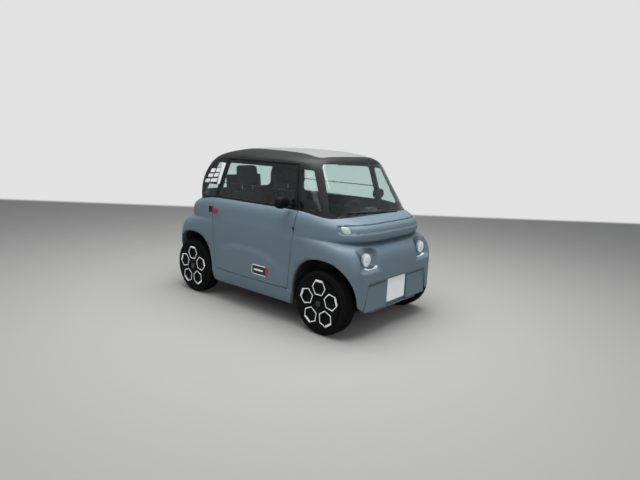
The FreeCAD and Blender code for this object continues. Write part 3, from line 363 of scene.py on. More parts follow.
# Door seals. Black rubber round each door's window frame, pressed on the frame's inner face
# across the gap. The seal stops short of the hinge end, where the door swings inward.
SEAL_CORNERS = [(0.541, 1.030), (0.4735, 1.372), (0.448, 1.3935), (-0.448, 1.3935),
                (-0.4735, 1.372), (-0.516, 1.160)]
SEAL_HALF = 0.009
SEAL_DEPTH = 0.029
SEAL_THICK = 0.003
rubber = grained(
    finish("Black_rubber", (0.010, 0.010, 0.010, 1), 0.6), (0.016, 0.016, 0.016, 1),
    14.0, 500.0, 0.0003)
for side, side_name in ((-1, "right"), (1, "left")):
    corners = np.array(SEAL_CORNERS) * (-side, 1)
    lengths = np.concatenate([[0], np.cumsum(np.linalg.norm(np.diff(corners, axis=0), axis=1))])
    way = np.linspace(0, lengths[-1], 90)
    line = np.stack([np.interp(way, lengths, corners[:, 0]),
                     np.interp(way, lengths, corners[:, 1])], -1)
    ahead = np.gradient(line, axis=0)
    ahead /= np.linalg.norm(ahead, axis=1, keepdims=True)
    over = np.stack([-ahead[:, 1], ahead[:, 0]], -1) * SEAL_HALF
    flat = np.zeros((len(line), 2, 3))
    flat[:, 0, 1:] = line - over
    flat[:, 1, 1:] = line + over
    strip = laid(skin_under("cabin_frame", "door_frame_" + side_name), flat,
                 (side * OUTSIDE, 0, 0), (-side, 0, 0), -SEAL_DEPTH - SEAL_THICK, -SEAL_DEPTH)
    build("door_seal_" + side_name, [strip], rubber, "body")

# Windows. Green-tinted glass with black edges, bonded into the cabin frame flush with its
# skin. Each door's pane is split, with a rubber between its halves. The rear quarters carry
# white film blocks on a black ground.
PANES = {
    "windscreen": (0.0, -0.80, 0.60), "rear_window": (0.0, 0.93, 0.37),
    "quarter_windows": (1.0, 0.0, 0.0), "door_glass_right": (1.0, 0.0, 0.0),
    "door_glass_left": (1.0, 0.0, 0.0),
}
FACING_SHARE = 0.45
FILM = [
    [(0.721, 1.251), (0.705, 1.289), (0.632, 1.296), (0.642, 1.257)],
    [(0.624, 1.259), (0.614, 1.299), (0.556, 1.306), (0.564, 1.264)],
    [(0.752, 1.200), (0.737, 1.236), (0.652, 1.243), (0.663, 1.208)],
    [(0.645, 1.211), (0.634, 1.247), (0.565, 1.253), (0.573, 1.219)],
    [(0.795, 1.145), (0.780, 1.180), (0.692, 1.190), (0.703, 1.154)],
    [(0.685, 1.156), (0.674, 1.193), (0.574, 1.204), (0.582, 1.167)],
    [(0.570, 1.150), (0.543, 1.356), (0.489, 1.356), (0.529, 1.150)],
]
FILM_GROUND = [(0.803, 1.139), (0.714, 1.297), (0.548, 1.311), (0.564, 1.143)]
FILM_THICK = 0.0014
FILM_RISE = 0.0016
GROUND_RISE = 0.0010
FILM_GRID = (16, 17)
FELL_THROUGH = 0.03
FIT_LIMITS = (0.004, 0.0012)
PANE_SPLIT = 1.168
PANE_SPLIT_HALF = 0.478
SPLIT_MARGIN = 0.005
SPLIT_RUBBER_RADIUS = 0.0045
SPLIT_RUBBER_SINK = 0.0025
tinted_glass = finish(
    "Green_tinted_glass", (0.75, 0.87, 0.835, 1), 0.02, Transmission_Weight=1.0, IOR=1.35)
haze = node(tinted_glass, "ShaderNodeTexNoise", Scale=3.0, Detail=2.0)
depth_tint = node(tinted_glass, "ShaderNodeMix", data_type="RGBA")
depth_tint.inputs[6].default_value = (0.76, 0.88, 0.845, 1)
depth_tint.inputs[7].default_value = (0.73, 0.86, 0.82, 1)
glass_place = node(tinted_glass, "ShaderNodeTexCoord")
join(tinted_glass, (glass_place, "Object"), (haze, "Vector"), (haze, "Fac"), (depth_tint, 0),
     (depth_tint, 2), (tinted_glass.node_tree.nodes["Principled BSDF"], "Base Color"))
pane_border = grained(
    finish("Black_pane_border", (0.005, 0.005, 0.005, 1), 0.5, Specular_IOR_Level=0.2),
    (0.008, 0.008, 0.008, 1), 10.0, 500.0, 0.0001)
for name, facing in PANES.items():
    # Flat facets keep the two faces of a pane parallel, so that the view isn't bent in it
    pane = moulding(name, tinted_glass, crease=0.4).data
    pane.materials.append(pane_border)
    is_edge = [abs(face.normal.dot(Vector(facing))) < FACING_SHARE for face in pane.polygons]
    pane.polygons.foreach_set("material_index", np.array(is_edge, int))
white_film = grained(
    finish("White_film", (0.74, 0.76, 0.76, 1), 0.5), (0.66, 0.69, 0.68, 1), 12.0, 600.0,
    0.0001)


def spread(corners, rows, columns):
    """Grid of (y, z) points that fills four corners evenly both ways."""
    a, b, c, d = (np.array(p) for p in corners)
    u = np.linspace(0, 1, rows)[:, None, None]
    v = np.linspace(0, 1, columns)[None, :, None]
    return (1 - u) * ((1 - v) * a + v * b) + u * ((1 - v) * d + v * c)


def evened(slab, rise):
    """The slab with its way out fitted to a smooth surface, so that it bridges the gap
    round a pane: x = a + by + cz + dyy + eyz + fzz, without the points that fell through.
    Its outer face stands off that surface by the rise."""
    flat = slab.reshape(-1, 3)
    y, z = flat[:, 1], flat[:, 2]
    terms = np.stack([np.ones_like(y), y, z, y * y, y * z, z * z], -1)
    out_way = np.abs(flat[:, 0])
    sound = out_way > np.median(out_way) - FELL_THROUGH
    for limit in FIT_LIMITS:
        fit = np.linalg.lstsq(terms[sound], out_way[sound], rcond=None)[0]
        sound = np.abs(terms @ fit - out_way) < limit
    half = slab.shape[1] // 2
    level = (terms @ fit).reshape(slab.shape[:2])
    level[:, :half] += rise
    level[:, half:] += rise - FILM_THICK
    even = slab.copy()
    even[..., 0] = np.sign(np.median(flat[:, 0])) * level
    return even


quarter_skin = skin_under("cabin_frame", "quarter_windows")
for side, side_name in ((-1, "right"), (1, "left")):
    sheets = []
    for corners in [FILM_GROUND] + FILM:
        flat = np.zeros((*FILM_GRID, 3))
        flat[..., 1:] = spread(corners, *FILM_GRID)
        on_skin = laid(quarter_skin, flat, (side * OUTSIDE, 0, 0), (-side, 0, 0), 0.0, 0.0)
        sheets.append(evened(on_skin, GROUND_RISE if corners is FILM_GROUND else FILM_RISE))
    build("quarter_film_ground_" + side_name, sheets[:1], pane_border, "body")
    build("quarter_film_" + side_name, sheets[1:], white_film, "body")
    pane_skin = skin_under("door_glass_" + side_name)
    line = []
    for y in np.linspace(-PANE_SPLIT_HALF, PANE_SPLIT_HALF, 30):
        start = Vector((side * OUTSIDE, y, PANE_SPLIT + SPLIT_MARGIN))
        spot = pane_skin.ray_cast(start, Vector((-side, 0, 0)))[0]
        line.append((spot.x - side * SPLIT_RUBBER_SINK, y, PANE_SPLIT))
    build("pane_rubber_" + side_name, [tube(line, SPLIT_RUBBER_RADIUS, 8)], rubber,
          "door_" + side_name)

# Mirrors and wiper. Each door carries a mirror in a black moulded case, with a silvered glass
# that looks back. One black wiper lies along the foot of the windscreen.
MIRROR_REAR = -0.434
MIRROR_SINK = 0.001
MIRROR_RISE = 0.0015
MIRROR_MIDDLE = (0.714, 1.0805)
MIRROR_HALF = (0.059, 0.040)


def plate_on(middle, half, power, y0, y1, columns=48):
    """Upright slab across the car between two y planes, outlined by a superellipse:
    |x / a|^power + |z / b|^power = 1, with a point at equal turns."""
    turn = np.linspace(0, ROUND, columns, endpoint=False)
    c = np.cos(turn)
    s = np.sin(turn)
    r = (np.abs(c) ** power + np.abs(s) ** power) ** (-1 / power)
    rings = []
    for y, shrink in ((y0, 0.97), (y0 + (y1 - y0) * 0.3, 1.0), (y1, 0.985)):
        rings.append(np.stack([middle[0] + half[0] * shrink * r * c, np.full(columns, y),
                               middle[1] + half[1] * shrink * r * s], -1))
    return np.stack(rings)


mirror_case = grained(
    finish("Mirror_case_black", (0.004, 0.004, 0.004, 1), 0.5, Specular_IOR_Level=0.10),
    (0.006, 0.006, 0.006, 1), 8.0, 700.0, 0.0004)
mirror_silver = grained(
    finish("Mirror_silver", (0.78, 0.80, 0.82, 1), 0.03, Metallic=1.0),
    (0.74, 0.76, 0.79, 1), 6.0, 40.0, 0.0, 0.02)
for side, side_name in ((-1, "right"), (1, "left")):
    moulding("door_mirror_" + side_name, mirror_case)
    face = plate_on((side * MIRROR_MIDDLE[0], MIRROR_MIDDLE[1]), MIRROR_HALF, 4,
                    MIRROR_REAR - MIRROR_SINK, MIRROR_REAR + MIRROR_RISE)
    build("mirror_glass_" + side_name, [face], mirror_silver, "door_" + side_name)
wiper_black = grained(
    finish("Wiper_black", (0.008, 0.008, 0.008, 1), 0.5), (0.013, 0.013, 0.013, 1), 20.0,
    500.0, 0.0003)
moulding("wiper", wiper_black)

# Lamps and plates. Round lamps and curved running lights sit in sloping pockets, with white
# lenses in front and red ones behind. Indicators are let into the ledge above, and plates are
# screwed on between the inserts, without letters.
LAMP_MIDDLE = (0.432, 0.662)
LAMP_FACE = 1.160
LENS_RADIUS = 0.0512
LENS_RING = 0.0165
LENS_RING_HALF = 0.002
FACE_MARGIN = 0.003
BEZEL_SINK = 0.0015
BEZEL_PROFILE = [
    (LENS_RADIUS, -0.003), (0.0524, 0.0006), (0.0550, 0.0006), (0.0574, -0.003),
    (0.0574, -0.016), (0.0564, -0.016),
]
PLATE_FACE = 1.1862
PLATE_SCREWS = (0.105, 0.356)
PLATE_SCREW_SIZE = (0.0045, 0.002)


def lamp_plastic(name, shade, ring_shade, glow):
    """Body plastic for a lamp's case, with a glowing lens and a ring in it on the round face."""
    material = grained(finish(name, BODY_COLOUR, 0.4), BODY_SHADE, 9.0, 200.0, 0.0001, 0.04)
    out, fore, height = from_middle(material)
    across = work_out(material, "SUBTRACT", out, LAMP_MIDDLE[0])
    upward = work_out(material, "SUBTRACT", height, LAMP_MIDDLE[1])
    from_centre = work_out(material, "SQRT", work_out(
        material, "ADD", work_out(material, "POWER", across, 2.0),
        work_out(material, "POWER", upward, 2.0)))
    on_face = work_out(material, "GREATER_THAN", fore, LAMP_FACE - FACE_MARGIN)
    lens = work_out(material, "MULTIPLY", on_face,
                    work_out(material, "LESS_THAN", from_centre, LENS_RADIUS))
    lens_ring = work_out(material, "MULTIPLY", on_face,
                         near(material, from_centre, LENS_RING, LENS_RING_HALF))
    skin = material.node_tree.nodes["Principled BSDF"]
    skin.inputs["Emission Color"].default_value = (0, 0, 0, 1)
    skin.inputs["Emission Strength"].default_value = glow
    for socket in ("Base Color", "Emission Color"):
        overlay(material, lens, shade, socket)
        overlay(material, lens_ring, ring_shade, socket)
    return material


white_lens = lamp_plastic(
    "Lamp_body_and_lens", (0.60, 0.67, 0.71, 1), (0.30, 0.33, 0.35, 1), 0.16)
red_lens = lamp_plastic(
    "Tail_lamp_body_and_lens", (0.42, 0.010, 0.010, 1), (0.16, 0.006, 0.006, 1), 0.10)
moulding("headlamps", white_lens)
moulding("tail_lamps", red_lens)
strip_lens = grained(
    finish("Running_light_diffuser", (0.70, 0.75, 0.79, 1), 0.3, Emission_Strength=0.14),
    (0.64, 0.69, 0.74, 1), 40.0, 900.0, 0.0001)
strip_lens.node_tree.nodes["Principled BSDF"].inputs["Emission Color"].default_value = (
    0.9, 0.94, 1.0, 1)
moulding("running_lights", strip_lens)
indicator_lens = grained(
    finish("Indicator_lens", (0.32, 0.39, 0.42, 1), 0.16), (0.42, 0.46, 0.45, 1), 55.0,
    260.0, 0.0006, 0.05)
moulding("indicators", indicator_lens)
plate_white = grained(
    finish("Plate_white", (0.88, 0.92, 0.92, 1), 0.38), (0.85, 0.89, 0.90, 1), 5.0, 900.0,
    0.0002)
moulding("number_plates", plate_white, 14)


def dome(centre, aim, radius, rise, sides=16):
    """Low screw head: rings at cos and sin of a quarter turn, from its foot to its crown."""
    aim = np.array(aim, float) / np.linalg.norm(aim)
    aside = np.cross(aim, (0.3, 0.5, 0.8))
    aside /= np.linalg.norm(aside)
    over = np.cross(aim, aside)
    turn = np.linspace(0, ROUND, sides, endpoint=False)[None, :, None]
    lift = np.linspace(0, math.pi / 2, 6)[:, None, None]
    flat = np.cos(turn) * aside + np.sin(turn) * over
    foot = np.array(centre) - aim * rise + radius * flat
    crown = np.array(centre) + radius * np.cos(lift) * flat + rise * np.sin(lift) * aim
    return np.concatenate([foot, crown])


plate_screws = [dome((side * PLATE_SCREWS[0], end * PLATE_FACE, PLATE_SCREWS[1]), (0, end, 0),
                     *PLATE_SCREW_SIZE) for end in (-1, 1) for side in (-1, 1)]
build("plate_screws", plate_screws, plate_white, "body")


def lathe(profile, centre, axis, columns=64):
    """Ring turned about an axis from (radius, way along) pairs; rows go round the axis."""
    axis = np.array(axis, float) / np.linalg.norm(axis)
    aside = np.cross(axis, (0.0, 0.0, 1.0)) if abs(axis[2]) < 0.9 else np.array((1.0, 0, 0))
    aside /= np.linalg.norm(aside)
    over = np.cross(axis, aside)
    turn = np.linspace(0, ROUND, columns, endpoint=False)[:, None, None]
    radius, way = np.array(profile, float).T[:, None, :, None]
    return (np.array(centre, float) + way * axis
            + radius * (np.cos(turn) * aside + np.sin(turn) * over))


bezel_grey = grained(
    finish("Lamp_bezel_grey", (0.30, 0.34, 0.36, 1), 0.3), (0.25, 0.29, 0.31, 1), 30.0, 600.0,
    0.0001)
for name, end in (("headlamp_bezels", -1), ("tail_lamp_bezels", 1)):
    rings = [lathe(BEZEL_PROFILE, (x, end * (LAMP_FACE - BEZEL_SINK), LAMP_MIDDLE[1]),
                   (0, end, 0)) for x in (-LAMP_MIDDLE[0], LAMP_MIDDLE[0])]
    build(name, rings, bezel_grey, "body", closed=True)

# Wheels. Radial tyres on black steel rims, each with a black clip-on cover whose five
# hexagons are outlined in white, with a broader white bar at their outer edges.
WHEEL_OUT = 0.5905
AXLE = 0.864
WHEEL_UP = 0.276
TREAD_STEPS = 512
TREAD_PITCH = 8
TREAD_SLANT = 120
SHOULDER_END = 0.0735
GROOVE_CUT = 0.0062
SHOULDER_CUT = 0.0050
RIB_CUT = 0.0030
COVER_FACE = 0.0865
WHITE_FROM = 0.6781
HEX_RING = 0.139
HEX_EDGE = 0.0598
BAR_HALF = (0.031, 0.0085)
BAR_INSET = 0.0045
BAR_SINK = 0.003
BAR_RISE = 0.0015
CAP_PROFILE = [
    (0.0, 0.0035), (0.021, 0.0035), (0.026, 0.0018), (0.0275, -0.001), (0.0275, -0.003),
    (0.0, -0.003),
]
tyre_rubber = grained(
    finish("Tyre_rubber", (0.004, 0.004, 0.004, 1), 0.8, Specular_IOR_Level=0.08),
    (0.006, 0.006, 0.006, 1), 4.0, 600.0, 0.0006)
cover_plastic = grained(
    finish("Wheel_cover_black", (0.002, 0.002, 0.0025, 1), 0.5, Specular_IOR_Level=0.07),
    (0.004, 0.004, 0.0045, 1), 5.0, 700.0, 0.0003)
out = from_middle(cover_plastic)[0]
overlay(cover_plastic, work_out(cover_plastic, "GREATER_THAN", out, WHITE_FROM),
        (0.84, 0.86, 0.87, 1))
white_paint = grained(
    finish("Wheel_white", (0.84, 0.86, 0.87, 1), 0.42), (0.76, 0.78, 0.79, 1), 20.0, 500.0,
    0.0002)
painted_steel = grained(
    finish("Black_painted_steel", (0.026, 0.026, 0.028, 1), 0.45), (0.040, 0.037, 0.034, 1),
    6.0, 400.0, 0.0003)


def tyre(centre):
    """Tyre as a grid: rows go round the axle, columns round the section.

    Each column has a way across, a radius and a kind: 0 plain wall, 1 groove cut all round,
    2 shoulder and 3 rib, both cut once in every pitch."""
    wall = [(0.0580, 0.1795, 0), (0.0640, 0.1830, 0), (0.0668, 0.1880, 0), (0.0690, 0.1960, 0),
            (0.0722, 0.2060, 0), (0.0750, 0.2160, 0), (0.0768, 0.2270, 0), (0.0775, 0.2330, 0),
            (0.0772, 0.2400, 0), (0.0764, 0.2460, 0), (0.0748, 0.2540, 0), (0.0722, 0.2610, 2),
            (0.0690, 0.2665, 2), (0.0655, 0.2700, 2), (0.0610, 0.2722, 2), (0.0545, 0.2737, 2),
            (0.0480, 0.2744, 2)]
    crown = [(0.0440, 0.2747, 3), (0.0425, 0.2748, 1), (0.0360, 0.2751, 1), (0.0345, 0.2752, 3),
             (0.0290, 0.2754, 3), (0.0220, 0.2756, 3), (0.0180, 0.2757, 3), (0.0165, 0.2757, 1),
             (0.0100, 0.2759, 1), (0.0085, 0.2759, 3), (0.0000, 0.2760, 3)]
    half = wall + crown
    columns = np.array(half + [(-a, b, kind) for a, b, kind in reversed(half[:-1])])
    across, radius, kind = columns.T
    step = np.arange(TREAD_STEPS)[:, None]
    slant = np.round(across * TREAD_SLANT).astype(int)
    shoulder = ((kind == 2) & (np.abs(across) < SHOULDER_END)
                & ((step + slant) % TREAD_PITCH == 0))
    rib = (kind == 3) & ((step + 2 * slant + TREAD_PITCH // 2) % TREAD_PITCH == 0)
    r = radius - (GROOVE_CUT * (kind == 1) + SHOULDER_CUT * shoulder + RIB_CUT * rib)
    turn = ROUND * step / TREAD_STEPS
    grid = np.stack([np.broadcast_to(across, r.shape), r * np.cos(turn), r * np.sin(turn)], -1)
    return grid + np.array(centre)


def box_rings(x0, x1, middle, half_wide, half_high, turn):
    """Small bar square to the axle and turned about its own middle: its two end rings."""
    c, s = math.cos(turn), math.sin(turn)
    rings = []
    for x in (x0, x1):
        ring = []
        for u, v in ((-1, -1), (1, -1), (1, 1), (-1, 1)):
            a = middle[0] + u * half_wide * c - v * half_high * s
            b = middle[1] + u * half_wide * s + v * half_high * c
            ring.append((x, a, b))
        rings.append(ring)
    return np.array(rings)


for end, end_name in ((-1, "front"), (1, "rear")):
    for side, side_name in ((-1, "right"), (1, "left")):
        name = end_name + "_" + side_name
        body = "wheel_" + name
        centre = (side * WHEEL_OUT, end * AXLE, WHEEL_UP)
        made = build("tyre_tread_" + name, [tyre(centre)], tyre_rubber, body,
                     closed=True, crease=38)
        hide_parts("tyre_" + name)
        moulding("rim_" + name, painted_steel)
        moulding("cover_" + name, cover_plastic)
        face = side * (WHEEL_OUT + COVER_FACE)
        bars = []
        for k in range(5):
            turn = ROUND * k / 5
            reach = HEX_RING + HEX_EDGE - BAR_INSET
            middle = (centre[1] + reach * math.sin(turn), WHEEL_UP + reach * math.cos(turn))
            bars.append(box_rings(face - side * BAR_SINK, face + side * BAR_RISE, middle,
                                  *BAR_HALF, -turn))
        build("hexagon_bars_" + name, bars, white_paint, body)
        cap = lathe(CAP_PROFILE, (face, centre[1], WHEEL_UP), (side, 0, 0), 48)
        build("hub_cap_" + name, [cap], gloss_black, body, closed=True)

# Seats. Moulded shells with foam cushions in dark cloth, each filled to a rounded form with
# sewn channels, and a head pad on two posts.
CHANNELS = 4
SEAT_OUT = 0.283
PASSENGER_BACK = 0.090
BACK_FOOT = (0.330, 0.360)
BACK_LEAN = 0.090 / 0.880
PAN_EDGE = (-0.170, 0.384)
PAN_SLOPE = 0.048
PAD_CLEAR = 0.0003
PAD_HALF = 0.202
HEAD_HALF = 0.120
SEAT_PAD = (-0.176, 0.312)
BACK_PAD = (0.450, 1.090)
HEAD_PAD = (1.130, 1.330)
PAD_SOFTNESS = 7
CORNER_CUT = 0.22
SEAM_WIDTH = 0.025
SEAM_DEPTH = 0.045
POST_OUT = 0.07
POST_AHEAD = 0.028
POST_HEIGHTS = (1.05, 1.09, 1.13, 1.16)
POST_RADIUS = 0.006
screw_steel = grained(
    finish("Zinc_screws", (0.42, 0.42, 0.43, 1), 0.35, Metallic=1.0), (0.32, 0.32, 0.33, 1),
    40.0, 900.0, 0.0001)
cloth = grained(
    finish("Dark_cloth", (0.030, 0.034, 0.036, 1), 0.9), (0.046, 0.051, 0.053, 1),
    60.0, 1200.0, 0.0008)
shell_plastic = grained(
    finish("Seat_shell_black", (0.020, 0.021, 0.022, 1), 0.5), (0.027, 0.028, 0.029, 1),
    5.0, 400.0, 0.0006)


def cushion(outline, middle, half, soft, seams, rows=56, columns=72):
    """Stuffed pad from its side outline. Every ring is the outline drawn towards its middle
    by (1 - |t|^soft)^(1/soft), t being the share of the half width, and drawn in a little
    further at the sewn seams."""
    corners = np.array(outline, float)
    ring = []
    count = len(corners)
    for k in range(count):
        here = corners[k]
        a = here + (corners[k - 1] - here) * CORNER_CUT
        b = here + (corners[(k + 1) % count] - here) * CORNER_CUT
        for t in np.linspace(0, 1, columns // count):
            ring.append((1 - t) ** 2 * a + 2 * t * (1 - t) * here + t ** 2 * b)
    ring = np.array(ring)
    core = ring.mean(axis=0)
    t = np.sin(np.linspace(-math.pi / 2, math.pi / 2, rows))
    size = (1 - np.abs(t) ** soft) ** (1 / soft)
    seam = np.zeros(rows)
    for k in range(1, seams):
        seam = np.maximum(seam, np.exp(-((t - (2 * k / seams - 1)) / SEAM_WIDTH) ** 2))
    scale = size * (1 - SEAM_DEPTH * seam)
    grid = np.zeros((rows, len(ring), 3))
    grid[..., 0] = (middle + half * t)[:, None]
    grid[..., 1:] = core + scale[:, None, None] * (ring - core)
    return grid


def back_face(z, back):
    """Way back to the seat back's face at a height, for a seat that stands back by so much."""
    return back + BACK_FOOT[0] + (z - BACK_FOOT[1]) * BACK_LEAN - PAD_CLEAR


def pan_face(y, back):
    """Height of the seat pan's face at a way back."""
    return PAN_EDGE[1] - (y - back - PAN_EDGE[0]) * PAN_SLOPE + PAD_CLEAR


def pad_outlines(back):
    """Side outlines of a seat's three pads, as corners (way back, height)."""
    front, rear = back + SEAT_PAD[0], back + SEAT_PAD[1]
    low, high = BACK_PAD
    chin, crown = HEAD_PAD
    return {
        "seat_cushion": [(front, pan_face(front, back)), (rear, pan_face(rear, back)),
                         (back + 0.318, 0.434), (back - 0.172, 0.460)],
        "back_cushion": [(back_face(low, back), low), (back_face(high, back), high),
                         (back_face(high, back) - 0.062, 1.084),
                         (back_face(low, back) - 0.076, low)],
        "head_cushion": [(back_face(chin, back), chin), (back_face(crown, back), crown),
                         (back_face(crown, back) - 0.060, 1.326),
                         (back_face(chin, back) - 0.066, 1.132)],
    }


for owner, x, back in (("driver", SEAT_OUT, 0.0), ("passenger", -SEAT_OUT, PASSENGER_BACK)):
    made = []
    for name, outline in pad_outlines(back).items():
        half, seams = (HEAD_HALF, 1) if name == "head_cushion" else (PAD_HALF, CHANNELS)
        pad = build(owner + "_" + name, [cushion(outline, x, half, PAD_SOFTNESS, seams)], cloth,
                    "body", crease=60)
        made.append(pad)
    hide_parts(owner + "_pads")
    posts = [tube([(x + u, back_face(z, back) - POST_AHEAD, z) for z in POST_HEIGHTS],
                  POST_RADIUS) for u in (-POST_OUT, POST_OUT)]
    build(owner + "_headrest_posts", posts, screw_steel, "body")
moulding("seat_shells", shell_plastic)

# Driver's place. Soft-grained dashboard with a small display, a floor mat on each side, and
# a steering wheel with a round rim, three spokes and a padded boss.
HUB = np.array((0.285, -0.392, 0.872))
TILT = math.radians(27)
COLUMN = np.array((0, math.cos(TILT), math.sin(TILT)))
GRIP = 0.175
GRIP_THICK = 0.0136
SPOKE_ANGLES = (0, 180, 270)
SPOKE_FROM = 0.030
SPOKE_SINK = 0.008
SPOKE_RADIUS = 0.0105
BOSS_PROFILE = [
    (0.0, 0.0135), (0.034, 0.012), (0.044, 0.004), (0.0455, -0.008), (0.0455, -0.029),
    (0.0, -0.029),
]
DISPLAY_MIDDLE = (0.285, 0.945)
DISPLAY_HALF = (0.074, 0.036)
DISPLAY_WAYS = (-0.652, -0.6485)
POD_HALF = (0.085, 0.045)
POD_WAYS = (-0.690, -0.650)
FLOOR_TOP = 0.267
MAT_HALF = 0.17
MAT_ENDS = (-0.53, -0.20)
MAT_THICK = 0.004
MAT_SINK = 0.0005
MAT_STEPS = 24
RIDGE_HEIGHT = 0.0012
RIDGE_TURN = 380
floor_plastic = grained(
    finish("Grained_black_plastic", (0.020, 0.020, 0.021, 1), 0.6), (0.030, 0.030, 0.031, 1),
    6.0, 300.0, 0.001)
dash_plastic = grained(
    finish("Dashboard_grey", (0.125, 0.135, 0.135, 1), 0.6), (0.105, 0.115, 0.115, 1),
    4.0, 350.0, 0.0008)
screen_glass = grained(
    finish("Display_glass", (0.004, 0.005, 0.006, 1), 0.08), (0.010, 0.012, 0.014, 1), 12.0,
    100.0, 0.0, 0.02)
grip_plastic = grained(
    finish("Wheel_rim_grip", (0.014, 0.014, 0.015, 1), 0.55), (0.020, 0.020, 0.021, 1),
    22.0, 800.0, 0.0006)
up_wheel = np.cross((1, 0, 0), COLUMN)
turn = np.linspace(0, ROUND, 96, endpoint=False)
grip_line = HUB + GRIP * (np.cos(turn)[:, None] * np.array((1, 0, 0))
                          + np.sin(turn)[:, None] * -up_wheel)
section = np.linspace(0, ROUND, 20, endpoint=False)
outward = (grip_line - HUB) / GRIP
rim_grid = (grip_line[:, None] + GRIP_THICK * (
    np.cos(section)[None, :, None] * outward[:, None]
    + np.sin(section)[None, :, None] * COLUMN))
wheel_rim = build("steering_wheel_rim", [rim_grid], grip_plastic, "steering_wheel",
                  closed=True)
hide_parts("steering_wheel")
spokes = []
for angle in SPOKE_ANGLES:
    a = math.radians(angle)
    way = np.array((math.cos(a), -math.sin(TILT) * math.sin(a), math.cos(TILT) * math.sin(a)))
    share = np.linspace(0, 1, 9)[:, None]
    line = HUB - SPOKE_SINK * COLUMN + way * (SPOKE_FROM + share * (GRIP - SPOKE_FROM))
    spokes.append(tube(line, SPOKE_RADIUS, 14))
build("steering_wheel_spokes", spokes, grip_plastic, "steering_wheel")
boss = lathe(BOSS_PROFILE, HUB, COLUMN)
build("steering_wheel_boss", [boss], grip_plastic, "steering_wheel", closed=True)
moulding("dashboard", dash_plastic)
moulding("floor", floor_plastic)
moulding("steering_column", painted_steel)
pod = plate_on(DISPLAY_MIDDLE, POD_HALF, 5, *POD_WAYS)
build("instrument_pod", [pod], dash_plastic, "body")
display = plate_on(DISPLAY_MIDDLE, DISPLAY_HALF, 6, *DISPLAY_WAYS)
build("instrument_display", [display], screen_glass, "body")
mats = []
for x in (-SEAT_OUT, SEAT_OUT):
    y = np.linspace(*MAT_ENDS, MAT_STEPS)
    ridge = FLOOR_TOP + MAT_THICK + RIDGE_HEIGHT * np.cos(y * RIDGE_TURN)
    ring = np.zeros((MAT_STEPS, 4, 3))
    ring[..., 1] = y[:, None]
    ring[:, :, 0] = x + np.array((-MAT_HALF, MAT_HALF, MAT_HALF, -MAT_HALF))
    ring[:, :2, 2] = FLOOR_TOP - MAT_SINK
    ring[:, 2:, 2] = ridge[:, None]
    mats.append(ring)
build("floor_mats", mats, rubber, "body")

# Under the skin. Black painted frame, arms and hinges, machined knuckles and steering rods,
# grained liners in the wheel arches, and zinc bolts where the frame and floor are joined.
BOLT_OUT = 0.29
BOLT_WAYS = (-1.05, -0.70, -0.25, 0.25, 0.70, 1.05)
BOLT_SIZE = (0.009, 0.005)
FRAME_FOOT = 0.198
bare_steel = grained(
    finish("Machined_steel", (0.36, 0.36, 0.37, 1), 0.4, Metallic=1.0),
    (0.28, 0.27, 0.26, 1), 8.0, 500.0, 0.0002)
battery_grey = grained(
    finish("Battery_case_grey", (0.12, 0.12, 0.125, 1), 0.5), (0.15, 0.15, 0.15, 1), 5.0,
    300.0, 0.0008)
moulding("arch_liners", floor_plastic)
for name in ("underframe", "lower_arms", "rear_suspension", "rack_housing",
             "strut_bearings", "door_hinges"):
    moulding(name, painted_steel)
for name in ("motor", "battery"):
    moulding(name, battery_grey)
for name in ("knuckle_right", "knuckle_left", "drive_shafts", "steering_rack"):
    moulding(name, bare_steel)
frame_bolts = [dome((x, y, FRAME_FOOT), (0, 0, -1), *BOLT_SIZE)
               for x in (-BOLT_OUT, BOLT_OUT) for y in BOLT_WAYS]
build("frame_bolts", frame_bolts, screw_steel, "body")

# Studio. A plain floor that sweeps up into a pale wall, soft lamps above, in front and at the
# car's right, and the photograph's own viewpoint.
VIEWPOINT = (-3.8117, -3.5178, 1.6206)
YAW = 0.8671
PITCH = -0.1932
ROLL = 0.0384
FOCAL_PIXELS = 516.92
PICTURE_WIDTH = 640
FLOOR_HALF = 14.0
WALL_RISE = 9.0
SWEEP = 1.2
WALL_AT = 7.5
WALL_TONE_FROM = 0.02
BACKDROP_HALF = FLOOR_HALF * 1.6


def sweep_line():
    """Way across and height of the backdrop: flat floor, quarter circle, upright wall."""
    bend = np.linspace(0, math.pi / 2, 24)
    across = np.concatenate([[-FLOOR_HALF], WALL_AT - SWEEP + SWEEP * np.sin(bend), [WALL_AT]])
    rise = np.concatenate([[0.0], SWEEP - SWEEP * np.cos(bend), [WALL_RISE]])
    return across, rise


studio_paint = finish("Studio_paint", (0.70, 0.70, 0.70, 1), 0.8)
studio_place = node(studio_paint, "ShaderNodeTexCoord")
studio_split = node(studio_paint, "ShaderNodeSeparateXYZ")
wall_share = node(studio_paint, "ShaderNodeMapRange")
wall_share.inputs["From Max"].default_value = WALL_TONE_FROM
wall_tone = node(studio_paint, "ShaderNodeMix", data_type="RGBA")
wall_tone.inputs[6].default_value = (0.33, 0.33, 0.32, 1)
wall_tone.inputs[7].default_value = (0.74, 0.74, 0.74, 1)
join(studio_paint, (studio_place, "Object"), (studio_split, 0), (studio_split, 2),
     (wall_share, 0), (wall_share, 0), (wall_tone, 0), (wall_tone, 2),
     (studio_paint.node_tree.nodes["Principled BSDF"], "Base Color"))
wall_glow = node(studio_paint, "ShaderNodeEmission", Color=(0.76, 0.76, 0.76, 1), Strength=1.0)
ray_kind = node(studio_paint, "ShaderNodeLightPath")
wall_mix = node(studio_paint, "ShaderNodeMixShader")
